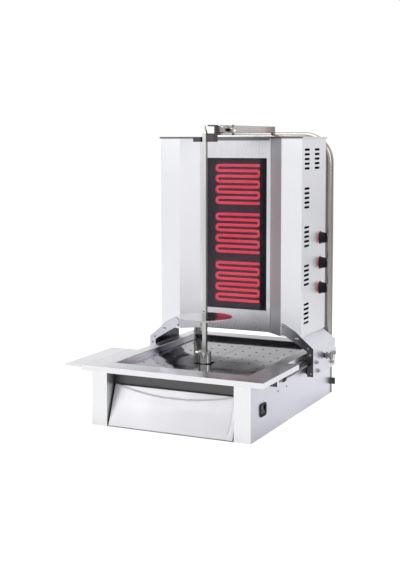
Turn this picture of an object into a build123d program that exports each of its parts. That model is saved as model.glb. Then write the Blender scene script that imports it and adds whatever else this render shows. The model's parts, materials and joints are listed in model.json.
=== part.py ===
"""Vertical kebab grill: a heater tower that slides on two rods over a grease tub.

Millimetres. The origin is the middle of the base's underside, +X is to the
right of someone facing the grill, +Y is to its back and +Z is up.
"""
import os
from math import atan2, cos, degrees, hypot, pi, radians, sin

from build123d import *

os.makedirs("parts", exist_ok=True)

# Clearances and sheet
sheet = 1.5
liner_sheet = 1.2
running_gap = 0.05
free_gap = 0.3

# Base box
base_width = 480.0
base_depth = 648.0
base_height = 150.0
post_width = 48.0
side_x = base_width / 2
front_y = -base_depth / 2
back_y = base_depth / 2
bay_half = side_x - post_width
recess_depth = 50.0
floor_flange = 12.0
side_flange = 16.0
vent_slot_length = 40.0
vent_slot_height = 6.0

# Top frame, its wings and the shelf
rim_height = 15.0
rim_top = base_height + rim_height
wing_overhang = 35.0
wing_depth = 270.0
opening_half = 206.0
rim_front_width = 70.0
rim_back_width = 54.0
opening_front = front_y + rim_front_width
opening_back = back_y - rim_back_width
opening_middle = (opening_front + opening_back) / 2
opening_length = opening_back - opening_front
shelf_reach = 54.0
shelf_lip = 6.0
wing_x = side_x + wing_overhang

# Grease tub and the two lift-out trays
tub_slope_run = 13.0
ledge_width = 10.0
ledge_z = rim_top - 14.2
tub_floor_z = base_height - 22.2
tub_flange = 12.0
tray_gap = 0.5
tray_hole = 4.5
tray_pitch_x = 45.0
tray_pitch_y = 55.0
tray_notch = 25.0
drain_radius = 14.0
drain_length = 22.0
drain_setback = 120.0
drain_y = front_y + drain_setback

# Drawer
drawer_gap = 4.0
drawer_top = 112.0
drawer_bottom = 3.0
drawer_lean = 42.0
drawer_front_depth = 50.0
drawer_box_height = 72.0
drawer_box_depth = 130.0
drawer_lip = 5.0
grip_sag = 24.0
grip_proud = 2.5
runner_z = 8.0
runner_width = 16.0
drawer_half = bay_half - drawer_gap
drawer_box_half = drawer_half - 8.0

# Spit and its drive
spit_setback = 232.0
spit_y = front_y + spit_setback
rod_size = 12.0
rod_chamfer = 0.6
socket_gap = 0.2
tip_length = 24.0
tip_rise = 1.0
coupling_radius = 19.0
coupling_top = 188.0
coupling_bottom = tub_floor_z + 0.4
socket_depth = 31.0
shaft_radius = 8.0
disc_radius = 79.0
disc_thickness = 2.5
disc_z = 285.0
hub_radius = 15.0
hub_height = 14.0
cross_pin_radius = 2.0
weir_radius = 24.0
weir_height = 16.0

# Gear motor under the tub
motor_plate_gap = 7.3
motor_plate_thickness = 2.5
motor_plate_z = tub_floor_z - motor_plate_gap - motor_plate_thickness
gearbox_half = 42.0
gearbox_length = 108.0
gearbox_height = 78.0
gearbox_lead = 40.0
gearbox_front = spit_y - gearbox_lead
motor_radius = 36.0
motor_length = 110.0
bearing_radius = 22.0
bearing_height = 6.0

# Heater tower
tower_half = 230.5
tower_depth = 214.0
tower_setback = 28.0
tower_back_y = back_y - tower_setback
tower_front = tower_back_y - tower_depth
tower_lift = 49.0
window_sill = 66.0
window_height = 461.0
window_head = 62.5
tower_height = window_sill + window_height + window_head
tower_bottom = rim_top + tower_lift
tower_top = tower_bottom + tower_height
cheek_width = 64.0
niche_half = 118.0
niche_depth = 41.0
niche_y = tower_front + niche_depth
cheek_inner = tower_half - cheek_width
lid_overhang = 3.5
lid_lip = 5.0
lid_hem = 6.0

# Window, glass and heating elements
window_half = 104.0
window_bottom = tower_bottom + window_sill
window_top = window_bottom + window_height
window_reveal = 10.0
glass_thickness = 4.0
glass_margin = 8.0
element_rows = 8
row_pitch = 16.5
element_bar = 8.5
element_half = 75.0
element_lead = 18.0
element_gap = 5.0
zone_pitch = 150.0
zone_count = 3
pan_depth = 40.0
board_thickness = 22.0
terminal_width = 28.0

# Side slots of the tower
slot_length = 44.0
slot_height = 7.0
slot_pitch = 13.8
slot_group_pitch = 114.7
slot_groups = 5
slots_in_group = 5
slot_drop = 36.5
slot_setback = 45.0
slot_column_gap = 88.5
slot_top_z = tower_top - slot_drop
slot_y = tower_front + slot_setback
second_slot_y = slot_y + slot_column_gap

# Heat knobs
knob_setback = 48.0
knob_y = tower_back_y - knob_setback
knob_rise = 207.0
knob_z = tower_bottom + knob_rise
knob_pitch = 77.0
knob_radius = 18.0
knob_length = 22.0
knob_shaft_radius = 3.0
ring_radius = 20.0
ring_thickness = 1.0
regulator_size = 44.0
regulator_depth = 38.0

# Guide rods and the brackets that ride on them
rod_radius = 7.0
rod_offset = 13.5
rod_drop = 12.0
rod_z = base_height - rod_drop
rod_front_gap = 130.0
rod_back_gap = 8.0
rod_start = front_y + rod_front_gap
rod_end = back_y - rod_back_gap
rod_x = side_x + rod_offset
support_length = 14.0
support_drop = 22.0
support_bottom = base_height - support_drop
collar_radius = 11.0
collar_length = 8.0
collar_setback = 64.0
collar_y = rod_start + collar_setback
bracket_reach = 30.0
bracket_x = side_x + bracket_reach
bracket_length = 200.0
bracket_drop = 49.0
bracket_bottom = base_height - bracket_drop
shoulder_drop = 30.0
bracket_shoulder = tower_bottom - shoulder_drop
bracket_tab = 36.0
bracket_leg = 19.0
plate_thickness = 2.0
plate_rise = 40.0
plate_knee = 40.0
plate_hip = 48.0
plate_hip_rise = 18.0
nut_radius = 6.0
block_length = 40.0
block_height = 43.0
block_top_gap = 1.0
block_top = base_height - block_top_gap
block_bottom = block_top - block_height
block_gap = 3.0
block_inset = 29.0
block_spread = 145.0
block_front_y = tower_front + block_inset
block_back_y = block_front_y + block_spread
nut_spread = 28.0
nut_z_low = block_bottom + nut_radius + 2.0
nut_z_high = nut_z_low + nut_spread
clamp_setback = 99.0
clamp_drop = 1.0
clamp_y = tower_front + clamp_setback
clamp_z = base_height - clamp_drop
clamp_shaft_radius = 3.0
boss_radius = 8.0
boss_length = 6.0
clamp_knob_radius = 12.0
clamp_knob_length = 18.0

# Rear tube, arm and spit fork
tube_radius = 15.0
tube_inset = 14.0
tube_x = side_x - tube_inset
tube_rise = 1.5
tube_top_z = tower_top + tube_rise
tube_bend = 80.0
tube_y = back_y + tube_radius + free_gap
saddle_height = 20.0
saddle_low_z = 40.0
saddle_drop = 30.0
saddle_high_z = base_height - saddle_drop
saddle_wall = 3.0
arm_x = 35.0
arm_thickness = 6.0
arm_lead = 13.0
arm_tail = 12.0
arm_front = spit_y + arm_lead
arm_back = tube_y + arm_tail
arm_height = 21.0
arm_sink = 3.0
arm_z = tube_top_z + tube_radius - arm_sink
screw_rise = 7.5
screw_line_z = arm_z + screw_rise
fork_screw_radius = 4.0
screw_slack = 6.0
fork_travel = 40.0
fork_bolt_setback = 24.0
wing_screw_setback = 86.0
fork_bolt_y = spit_y + fork_bolt_setback
wing_screw_y = spit_y + wing_screw_setback
fork_web = 4.0
fork_flange = 4.0
fork_flange_end = 10.0
fork_lead = 4.0
fork_length = 38.0
fork_front = spit_y - fork_lead
fork_back = fork_front + fork_length
fork_height = 28.0
fork_drop = 7.0
fork_low_z = arm_z - fork_drop
fork_high_z = fork_low_z + fork_height
strap_length = 66.0
strap_back = fork_back + strap_length
strap_height = 16.0
fork_block_half = 31.5
fork_block_height = 20.0
fork_block_front = 12.0
fork_block_back = 18.0
fork_notch_gap = 0.5
fork_step = 6.0

# Switch and cable gland
switch_setback = 84.0
switch_y = front_y + switch_setback
switch_z = 74.0
bezel_length = 44.0
bezel_height = 36.0
bezel_proud = 3.0
rocker_length = 30.0
rocker_half = 11.5
rocker_swing = 8.0
switch_depth = 26.0
gland_x = 150.0
gland_z = 40.0
gland_radius = 11.0


def folded_sheet(points, wall):
    """Corner points of a sheet whose outer face follows points, wall on its left."""
    inner = []
    last = len(points) - 1
    for index, (x, y) in enumerate(points):
        before = points[max(index - 1, 0)]
        after = points[min(index + 1, last)]
        if index == 0:
            before = (2 * x - after[0], 2 * y - after[1])
        if index == last:
            after = (2 * x - before[0], 2 * y - before[1])
        turn_in = atan2(y - before[1], x - before[0])
        turn_out = atan2(after[1] - y, after[0] - x)
        half_turn = (turn_out - turn_in + pi) % (2 * pi) - pi
        half_turn = half_turn / 2
        normal = turn_in + half_turn + pi / 2
        reach = wall / cos(half_turn)
        inner.append((x + reach * cos(normal), y + reach * sin(normal)))
    return list(points) + inner[::-1]


def mirrored(points, side):
    """The same outline on the left side when side is -1."""
    return [(side * x, y) for x, y in points]


def along_y(start):
    """Plane across the depth at y = start: local x is X, local y is Z, normal to the back."""
    return Plane(origin=(0, start, 0), x_dir=(1, 0, 0), z_dir=(0, -1, 0))


def along_x(start, y=0.0, z=0.0):
    """Plane facing +X at x = start: local x is Y, local y is Z."""
    return Plane(origin=(start, y, z), x_dir=(0, 1, 0), z_dir=(1, 0, 0))


def facing_left(start, y=0.0, z=0.0):
    """Plane facing -X at x = start: local x is -Y, local y is Z."""
    return Plane(origin=(start, y, z), x_dir=(0, -1, 0), z_dir=(-1, 0, 0))


def vent(length, height):
    """Corner points of a punched vent slot."""
    cut = height * 0.3
    half, tall = length / 2, height / 2
    right = [(half - cut, -tall), (half, cut - tall), (half, tall - cut), (half - cut, tall)]
    return right + [(-x, -z) for x, z in right]


def save(piece, name):
    """Names a finished piece and writes it."""
    piece.label = name
    export_step(piece, f"parts/{name}.step")


# Base: floor pan with upturned edges, two side sheets, back sheet
pan_half = side_x - sheet
with BuildPart() as base_floor:
    with BuildSketch(along_y(front_y + sheet)):
        with BuildLine():
            Polyline(
                *folded_sheet(
                    [
                        (-pan_half, floor_flange),
                        (-pan_half, 0),
                        (pan_half, 0),
                        (pan_half, floor_flange),
                    ],
                    sheet,
                ),
                close=True,
            )
        make_face()
    extrude(amount=-(base_depth - 2 * sheet))
save(base_floor.part, "base_floor")


def base_side(side):
    """Side sheet with its top edge folded in, and the switch cut-out on the right."""
    with BuildPart() as panel:
        with BuildSketch(along_y(front_y + sheet)):
            with BuildLine():
                outline = folded_sheet(
                    [(side_x, 0), (side_x, base_height), (side_x - side_flange, base_height)], sheet
                )
                Polyline(*mirrored(outline, side), close=True)
            make_face()
        extrude(amount=-(base_depth - sheet))
        if side > 0:
            with BuildSketch(along_x(side_x - 2 * sheet, switch_y, switch_z)):
                Rectangle(rocker_length + 6.0, 2 * rocker_half + 8.0)
            extrude(amount=3 * sheet, mode=Mode.SUBTRACT)
    return panel.part


save(base_side(1), "base_side_right")
save(base_side(-1), "base_side_left")

with BuildPart() as base_back:
    with BuildSketch(along_y(back_y - sheet)):
        with Locations((0, (base_height - sheet) / 2 + sheet / 2)):
            Rectangle(2 * (side_x - sheet), base_height - 2 * sheet)
        with Locations((0, base_height * 0.6)):
            with GridLocations(vent_slot_length * 1.6, vent_slot_height * 2.5, 3, 3):
                Polygon(*vent(vent_slot_length, vent_slot_height), mode=Mode.SUBTRACT)
        with Locations((gland_x, gland_z)):
            Circle(gland_radius, mode=Mode.SUBTRACT)
    extrude(amount=-sheet)
save(base_back.part, "base_back")

# Front frame: two posts with their cheeks, and the wall across the drawer's recess
recess_y = front_y + recess_depth
with BuildPart() as front_frame:
    with BuildSketch():
        for side in (1, -1):
            with BuildLine():
                post = folded_sheet(
                    [
                        (bay_half, recess_y + sheet),
                        (bay_half, front_y),
                        (side_x, front_y),
                    ],
                    sheet,
                )
                Polyline(*mirrored(post, side), close=True)
            make_face()
    extrude(amount=base_height)
    with BuildSketch():
        with Locations((0, front_y + sheet + recess_depth / 2)):
            Rectangle(2 * side_x, recess_depth)
    extrude(amount=sheet, mode=Mode.SUBTRACT)
    with BuildSketch(along_y(recess_y)):
        with Locations((0, (base_height + runner_z + drawer_box_height) / 2 + 2.0)):
            Rectangle(2 * bay_half, base_height - runner_z - drawer_box_height - 4.0)
    extrude(amount=-sheet)
save(front_frame.part, "front_frame")

# Top frame: flat rim round the tub, wide at the front, with its edge folded down
with BuildPart() as top_frame:
    wing_end = front_y + wing_depth
    with BuildSketch(Plane.XY.offset(base_height)) as rim_outline:
        with BuildLine():
            Polyline(
                (-wing_x, front_y),
                (wing_x, front_y),
                (wing_x, wing_end),
                (side_x, wing_end),
                (side_x, back_y),
                (-side_x, back_y),
                (-side_x, wing_end),
                (-wing_x, wing_end),
                close=True,
            )
        make_face()
    extrude(amount=rim_height)
    with BuildSketch(Plane.XY.offset(base_height)):
        add(rim_outline.sketch.faces())
        offset(amount=-sheet, mode=Mode.REPLACE, kind=Kind.INTERSECTION)
    extrude(amount=rim_height - sheet, mode=Mode.SUBTRACT)
    with BuildSketch(Plane.XY.offset(base_height)):
        with Locations((0, opening_middle)):
            Rectangle(2 * opening_half, opening_length)
    extrude(amount=rim_height, mode=Mode.SUBTRACT)
    outer_corners = top_frame.edges().filter_by(Axis.Z).group_by(Axis.Y)[0]
    fillet(outer_corners, 1.0)
save(top_frame.part, "top_frame")

# Shelf beside the left wing, its three free edges folded down
with BuildPart() as side_shelf:
    with BuildSketch(Plane.XY.offset(rim_top - shelf_lip)) as shelf_outline:
        with Locations((-wing_x - shelf_reach / 2, front_y + wing_depth / 2)):
            Rectangle(shelf_reach, wing_depth)
    extrude(amount=shelf_lip)
    with BuildSketch(Plane.XY.offset(rim_top - shelf_lip)):
        with Locations((-wing_x - shelf_reach / 2, front_y + wing_depth / 2)):
            Rectangle(shelf_reach - 2 * sheet, wing_depth - 2 * sheet)
    extrude(amount=shelf_lip - sheet, mode=Mode.SUBTRACT)
    shelf_corners = side_shelf.edges().filter_by(Axis.Z).group_by(Axis.X)[0]
    fillet(shelf_corners, 3.0)
save(side_shelf.part, "side_shelf")

# Tub: sloped walls, a ledge that carries the trays, a sump with weir and drain spout
ledge_half = opening_half - tub_slope_run
ledge_length = opening_length - 2 * tub_slope_run
sump_half = ledge_half - ledge_width
sump_length = ledge_length - 2 * ledge_width
tub_lip_z = rim_top - sheet


def tub_volume(grow, floor_z):
    """Funnel and sump as one filled volume, grown by grow to the outside."""
    with BuildPart() as volume:
        for height, half, length in (
            (tub_lip_z, opening_half - sheet, opening_length - 2 * sheet),
            (ledge_z, ledge_half, ledge_length),
        ):
            with BuildSketch(Plane.XY.offset(height - (grow if height == ledge_z else 0))):
                with Locations((0, opening_middle)):
                    Rectangle(2 * (half + grow), length + 2 * grow)
        loft(ruled=True)
        with BuildSketch(Plane.XY.offset(floor_z)):
            with Locations((0, opening_middle)):
                Rectangle(2 * (sump_half + grow), sump_length + 2 * grow)
        extrude(amount=ledge_z - floor_z)
    return volume.part


tub_outside = tub_volume(liner_sheet, tub_floor_z)
tub_inside = tub_volume(0.0, tub_floor_z + liner_sheet)
with BuildPart() as fat_tub:
    add(tub_outside)
    with BuildSketch(Plane.XY.offset(tub_lip_z - liner_sheet)):
        with Locations((0, opening_middle)):
            Rectangle(2 * (opening_half + tub_flange), opening_length + 2 * tub_flange)
    extrude(amount=liner_sheet)
    add(tub_inside, mode=Mode.SUBTRACT)
    with BuildSketch(Plane.XY.offset(tub_floor_z)):
        with Locations((0, spit_y)):
            Circle(weir_radius + liner_sheet)
    extrude(amount=weir_height)
    with BuildSketch(Plane.XY.offset(tub_floor_z)):
        with Locations((0, spit_y)):
            Circle(weir_radius)
    extrude(amount=weir_height, mode=Mode.SUBTRACT)
    with BuildSketch(Plane.XY.offset(tub_floor_z - drain_length)):
        with Locations((0, drain_y)):
            Circle(drain_radius)
    extrude(amount=drain_length)
    with BuildSketch(Plane.XY.offset(tub_floor_z - drain_length)):
        with Locations((0, drain_y)):
            Circle(drain_radius - liner_sheet)
    extrude(amount=drain_length + liner_sheet, mode=Mode.SUBTRACT)
save(fat_tub.part, "fat_tub")


def drip_tray(side):
    """One half of the perforated tray, notched round the coupling."""
    half = ledge_half - tray_gap
    with BuildPart() as tray:
        with BuildSketch(Plane.XY.offset(ledge_z)):
            with Locations((side * (half / 2 + tray_gap / 2), opening_middle)):
                Rectangle(half - tray_gap, ledge_length - 2 * tray_gap)
            with Locations((0, spit_y)):
                Rectangle(2 * tray_notch, 2 * tray_notch, mode=Mode.SUBTRACT)
            with Locations((side * (0.66 * tray_pitch_x + 1.5 * tray_pitch_x), opening_middle)):
                with GridLocations(tray_pitch_x, tray_pitch_y, 4, 9):
                    RegularPolygon(tray_hole / 2, 6, mode=Mode.SUBTRACT)
        extrude(amount=liner_sheet)
    return tray.part


save(drip_tray(1), "tray_right")
save(drip_tray(-1), "tray_left")

# Drawer: leaning front with end cheeks and a smile-shaped grip, box behind it
lean_angle = degrees(atan2(drawer_lean, drawer_top - drawer_bottom))
front_profile = [
    (front_y + drawer_front_depth, drawer_bottom + 28.0),
    (front_y + drawer_front_depth, drawer_bottom),
    (front_y, drawer_bottom),
    (front_y + drawer_lean, drawer_top),
    (front_y + drawer_lean + drawer_lip, drawer_top),
]
cheek_outline = front_profile[1:] + [(front_y + drawer_front_depth, drawer_top - 6.0)]
with BuildPart() as drawer_front:
    with BuildSketch(along_x(-drawer_half)):
        with BuildLine():
            Polyline(*folded_sheet(front_profile, -sheet), close=True)
        make_face()
    extrude(amount=2 * drawer_half)
    for start in (-drawer_half, drawer_half - liner_sheet):
        with BuildSketch(along_x(start)):
            with BuildLine():
                Polyline(*cheek_outline, close=True)
            make_face()
        extrude(amount=liner_sheet)
    slope_plane = Plane(
        origin=(0, front_y + drawer_lean, drawer_top),
        x_dir=(1, 0, 0),
        z_dir=(0, -cos(radians(lean_angle)), sin(radians(lean_angle))),
    )
    with BuildSketch(slope_plane):
        with BuildLine():
            chord = Line((-drawer_half + 8.0, 0), (drawer_half - 2.0, 0))
            ThreePointArc(chord @ 1, (0.15 * drawer_half, -grip_sag), chord @ 0)
        make_face()
    extrude(amount=grip_proud)
save(drawer_front.part, "drawer_front")

box_front = front_y + drawer_front_depth
box_floor = runner_z + free_gap
with BuildPart() as drawer_box:
    with BuildSketch(Plane.XY.offset(box_floor)):
        with Locations((0, box_front + drawer_box_depth / 2)):
            Rectangle(2 * drawer_box_half, drawer_box_depth)
    extrude(amount=drawer_box_height)
    with BuildSketch(Plane.XY.offset(box_floor + liner_sheet)):
        with Locations((0, box_front + drawer_box_depth / 2)):
            Rectangle(2 * (drawer_box_half - liner_sheet), drawer_box_depth - 2 * liner_sheet)
    extrude(amount=drawer_box_height, mode=Mode.SUBTRACT)
save(drawer_box.part, "drawer_box")

with BuildPart() as drawer_runners:
    for side in (1, -1):
        with BuildSketch(along_y(box_front + 2.0)):
            with BuildLine():
                runner = [
                    (drawer_box_half - runner_width, runner_z),
                    (drawer_box_half + free_gap + sheet, runner_z),
                    (drawer_box_half + free_gap + sheet, sheet),
                    (drawer_box_half + free_gap, sheet),
                    (drawer_box_half + free_gap, runner_z - sheet),
                    (drawer_box_half - runner_width, runner_z - sheet),
                ]
                Polyline(*mirrored(runner, side), close=True)
            make_face()
        extrude(amount=-(drawer_box_depth - 2.0))
save(drawer_runners.part, "drawer_runners")


def guide_rod(side):
    """Polished rod beside the base, under the wing."""
    with BuildPart() as rod:
        with BuildSketch(along_y(rod_start)):
            with Locations((side * rod_x, rod_z)):
                Circle(rod_radius)
        extrude(amount=-(rod_end - rod_start))
        chamfer(rod.edges().filter_by(GeomType.CIRCLE), 1.0)
    return rod.part


save(guide_rod(1), "guide_rod_right")
save(guide_rod(-1), "guide_rod_left")

with BuildPart() as rod_supports:
    for side in (1, -1):
        for start in (rod_start, rod_end - support_length):
            with BuildSketch(along_y(start)):
                middle_x = side * (side_x + rod_offset / 2 + rod_radius / 2 + 1.5)
                with Locations((middle_x, (support_bottom + base_height) / 2)):
                    Rectangle(rod_offset + rod_radius + 3.0, base_height - support_bottom)
                with Locations((side * rod_x, rod_z)):
                    Circle(rod_radius, mode=Mode.SUBTRACT)
            extrude(amount=-support_length)
save(rod_supports.part, "rod_supports")

with BuildPart() as stop_collars:
    for side in (1, -1):
        with BuildSketch(along_y(collar_y)):
            with Locations((side * rod_x, rod_z)):
                RegularPolygon(collar_radius, 16)
                Circle(rod_radius, mode=Mode.SUBTRACT)
        extrude(amount=-collar_length)
save(stop_collars.part, "stop_collars")

# Drive: plate across the base, gearbox, motor, bearing, shaft and coupling
plate_front = gearbox_front - 6.0
plate_length = gearbox_length + 12.0
plate_top = motor_plate_z + motor_plate_thickness
with BuildPart() as motor_plate:
    with BuildSketch(along_x(-side_x + sheet)):
        with BuildLine():
            Polyline(
                *folded_sheet(
                    [
                        (plate_front + plate_length, motor_plate_z - 10.0),
                        (plate_front + plate_length, plate_top),
                        (plate_front, plate_top),
                        (plate_front, motor_plate_z - 10.0),
                    ],
                    motor_plate_thickness,
                ),
                close=True,
            )
        make_face()
    extrude(amount=2 * (side_x - sheet))
    with BuildSketch(Plane.XY.offset(motor_plate_z)):
        with Locations((0, spit_y)):
            Circle(shaft_radius + 4.0)
    extrude(amount=motor_plate_thickness, mode=Mode.SUBTRACT)
save(motor_plate.part, "motor_plate")

with BuildPart() as gearbox_housing:
    with BuildSketch(Plane.XY.offset(motor_plate_z - gearbox_height)):
        with Locations((0, gearbox_front + gearbox_length / 2)):
            RectangleRounded(2 * gearbox_half, gearbox_length, 8.0)
    extrude(amount=gearbox_height)
    with BuildSketch(Plane.XY.offset(motor_plate_z - gearbox_height + 12.0)):
        with Locations((0, spit_y)):
            Circle(shaft_radius + running_gap)
    extrude(amount=gearbox_height, mode=Mode.SUBTRACT)
    chamfer(gearbox_housing.faces().sort_by(Axis.Z)[0].edges(), 2.0)
save(gearbox_housing.part, "gearbox_housing")

motor_z = motor_plate_z - 11.0 - motor_radius
motor_front = gearbox_front + gearbox_length
with BuildPart() as motor_can:
    with BuildSketch(along_y(motor_front)):
        with Locations((0, motor_z)):
            RegularPolygon(motor_radius, 20)
    extrude(amount=-(motor_length - 20.0))
    with BuildSketch(along_y(motor_front + motor_length - 20.0)):
        with Locations((0, motor_z)):
            RegularPolygon(motor_radius - 3.0, 20)
    extrude(amount=-20.0)
save(motor_can.part, "motor_can")

with BuildPart() as drive_bearing:
    with BuildSketch(Plane.XY.offset(plate_top)):
        with Locations((0, spit_y)):
            RegularPolygon(bearing_radius, 16)
            Circle(shaft_radius + running_gap, mode=Mode.SUBTRACT)
    extrude(amount=bearing_height)
save(drive_bearing.part, "drive_bearing")

socket_floor = coupling_top - socket_depth
shaft_bottom = motor_plate_z - gearbox_height + 12.0 + free_gap
shaft_top = socket_floor - 4.0
with BuildPart() as output_shaft:
    with BuildSketch(Plane.XY.offset(shaft_bottom)):
        with Locations((0, spit_y)):
            Circle(shaft_radius)
    extrude(amount=shaft_top - shaft_bottom)
save(output_shaft.part, "output_shaft")

screw_z = coupling_top - 7.0
with BuildPart() as drive_coupling:
    with BuildSketch(Plane.XY.offset(coupling_bottom)):
        with Locations((0, spit_y)):
            Circle(coupling_radius)
    extrude(amount=coupling_top - coupling_bottom)
    chamfer(drive_coupling.edges().sort_by(Axis.Z)[-1], 1.2)
    with BuildSketch(Plane.XY.offset(coupling_bottom)):
        with Locations((0, spit_y)):
            Circle(shaft_radius)
    extrude(amount=shaft_top - coupling_bottom, mode=Mode.SUBTRACT)
    with BuildSketch(Plane.XY.offset(socket_floor)):
        with Locations((0, spit_y)):
            Rectangle(rod_size + 2 * socket_gap, rod_size + 2 * socket_gap)
    extrude(amount=socket_depth, mode=Mode.SUBTRACT)
    with BuildSketch(facing_left(0, spit_y, screw_z)):
        Circle(2.5)
    extrude(amount=coupling_radius + 1.0, mode=Mode.SUBTRACT)
save(drive_coupling.part, "drive_coupling")

screw_start = rod_size / 2 + socket_gap + 0.2
with BuildPart() as coupling_screw:
    with BuildSketch(facing_left(-screw_start, spit_y, screw_z)):
        Circle(2.5)
    extrude(amount=coupling_radius + 2.0 - screw_start)
    with BuildSketch(facing_left(-coupling_radius - 1.0, spit_y, screw_z)):
        RegularPolygon(4.0, 6)
    extrude(amount=9.0)
save(coupling_screw.part, "coupling_screw")

# Spit: square bar with a pointed tip, and the disc pinned to it
tip_z = fork_high_z + tip_rise
pin_z = disc_z - hub_height + 5.0
with BuildPart() as spit_rod:
    with BuildSketch(Plane.XY.offset(socket_floor)):
        with Locations((0, spit_y)):
            Rectangle(rod_size, rod_size)
    extrude(amount=tip_z - tip_length - socket_floor)
    chamfer(spit_rod.edges().filter_by(Axis.Z), rod_chamfer)
    with BuildSketch(Plane.XY.offset(tip_z - tip_length)):
        with Locations((0, spit_y)):
            Rectangle(rod_size - 2 * rod_chamfer, rod_size - 2 * rod_chamfer)
    with BuildSketch(Plane.XY.offset(tip_z)):
        with Locations((0, spit_y)):
            Rectangle(1.0, 1.0)
    loft(ruled=True)
    with BuildSketch(Plane(origin=(0, spit_y, 0), x_dir=(1, 0, 0), z_dir=(0, -1, 0))):
        with Locations((0, pin_z), (0, disc_z + disc_thickness + 16.0)):
            Circle(cross_pin_radius)
    extrude(amount=rod_size, both=True, mode=Mode.SUBTRACT)
save(spit_rod.part, "spit_rod")

with BuildPart() as meat_disc:
    with BuildSketch(Plane.XY.offset(disc_z)):
        with Locations((0, spit_y)):
            Circle(disc_radius)
    extrude(amount=disc_thickness)
    with BuildSketch(Plane.XY.offset(disc_z - hub_height)):
        with Locations((0, spit_y)):
            Circle(hub_radius)
    extrude(amount=hub_height)
    with BuildSketch(Plane.XY.offset(disc_z - hub_height)):
        with Locations((0, spit_y)):
            Rectangle(rod_size, rod_size)
    extrude(amount=hub_height + disc_thickness, mode=Mode.SUBTRACT)
    with BuildSketch(Plane(origin=(0, spit_y, pin_z), x_dir=(1, 0, 0), z_dir=(0, -1, 0))):
        Circle(cross_pin_radius)
    extrude(amount=hub_radius + 1.0, both=True, mode=Mode.SUBTRACT)
save(meat_disc.part, "meat_disc")

with BuildPart() as disc_pin:
    with BuildSketch(Plane(origin=(0, spit_y, pin_z), x_dir=(1, 0, 0), z_dir=(0, -1, 0))):
        Circle(cross_pin_radius)
    extrude(amount=hub_radius + 3.0, both=True)
save(disc_pin.part, "disc_pin")


def tower_side(side):
    """Side sheet folded round the cheek and along the slanted wing to the niche."""
    wing_slope = (cheek_inner - niche_half) / niche_depth
    wing_end_x = niche_half - sheet * wing_slope
    outer_face = [
        (wing_end_x - 8.0, niche_y + sheet),
        (wing_end_x, niche_y + sheet),
        (cheek_inner, tower_front),
        (tower_half, tower_front),
        (tower_half, tower_back_y),
    ]
    with BuildPart() as panel:
        with BuildSketch(Plane.XY.offset(tower_bottom)):
            with BuildLine():
                Polyline(*mirrored(folded_sheet(outer_face, sheet), side), close=True)
            make_face()
        extrude(amount=tower_top - tower_bottom)
        with BuildSketch(along_x(side * (tower_half - 2 * sheet))):
            for group in range(slot_groups):
                for row in range(slots_in_group):
                    slot_z = slot_top_z - group * slot_group_pitch - row * slot_pitch
                    columns = [slot_y, second_slot_y] if group == 0 else [slot_y]
                    with Locations([(column, slot_z) for column in columns]):
                        Polygon(*vent(slot_length, slot_height))
        extrude(amount=side * 3 * sheet, mode=Mode.SUBTRACT)
        if side > 0:
            with BuildSketch(along_x(tower_half - 2 * sheet)):
                with Locations([(knob_y, knob_z + step * knob_pitch) for step in (-1, 0, 1)]):
                    RegularPolygon(knob_shaft_radius + 1.0, 12)
            extrude(amount=3 * sheet, mode=Mode.SUBTRACT)
    return panel.part


save(tower_side(1), "tower_side_right")
save(tower_side(-1), "tower_side_left")

# Centre panel with its window and the window's reveal
panel_half = niche_half - 2.0
window_middle = (window_bottom + window_top) / 2
panel_bottom = tower_bottom + 3.0
with BuildPart() as centre_panel:
    with BuildSketch(along_y(niche_y)):
        with Locations((0, (panel_bottom + tower_top) / 2)):
            Rectangle(2 * panel_half, tower_top - panel_bottom)
    extrude(amount=-sheet)
    with BuildSketch(along_y(niche_y)):
        with Locations((0, window_middle)):
            Rectangle(2 * (window_half + sheet), window_height + 2 * sheet)
    extrude(amount=-window_reveal)
    with BuildSketch(along_y(niche_y)):
        with Locations((0, window_middle)):
            Rectangle(2 * window_half, window_height)
    extrude(amount=-window_reveal, mode=Mode.SUBTRACT)
save(centre_panel.part, "centre_panel")

# Back of the tower, folded forward as its floor
with BuildPart() as tower_back:
    with BuildSketch(along_x(-tower_half + sheet)):
        with BuildLine():
            Polyline(
                *folded_sheet(
                    [
                        (tower_front + niche_depth + window_reveal, tower_bottom),
                        (tower_back_y, tower_bottom),
                        (tower_back_y, tower_top),
                    ],
                    sheet,
                ),
                close=True,
            )
        make_face()
    extrude(amount=2 * (tower_half - sheet))
    with BuildSketch(Plane.XY.offset(tower_bottom - sheet)):
        for side in (1, -1):
            with Locations((side * tower_half, tower_front + bracket_length / 2)):
                Rectangle(2 * (2 * sheet + 2.0), bracket_length + 4.0)
    extrude(amount=3 * sheet, mode=Mode.SUBTRACT)
    with BuildSketch(along_y(tower_back_y - 2 * sheet)):
        with Locations((0, window_middle + window_height / 3), (0, window_middle - window_height / 3)):
            with GridLocations(vent_slot_length * 1.6, vent_slot_height * 2.8, 4, 5):
                Polygon(*vent(vent_slot_length, vent_slot_height))
    extrude(amount=-3 * sheet, mode=Mode.SUBTRACT)
save(tower_back.part, "tower_back")

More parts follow.
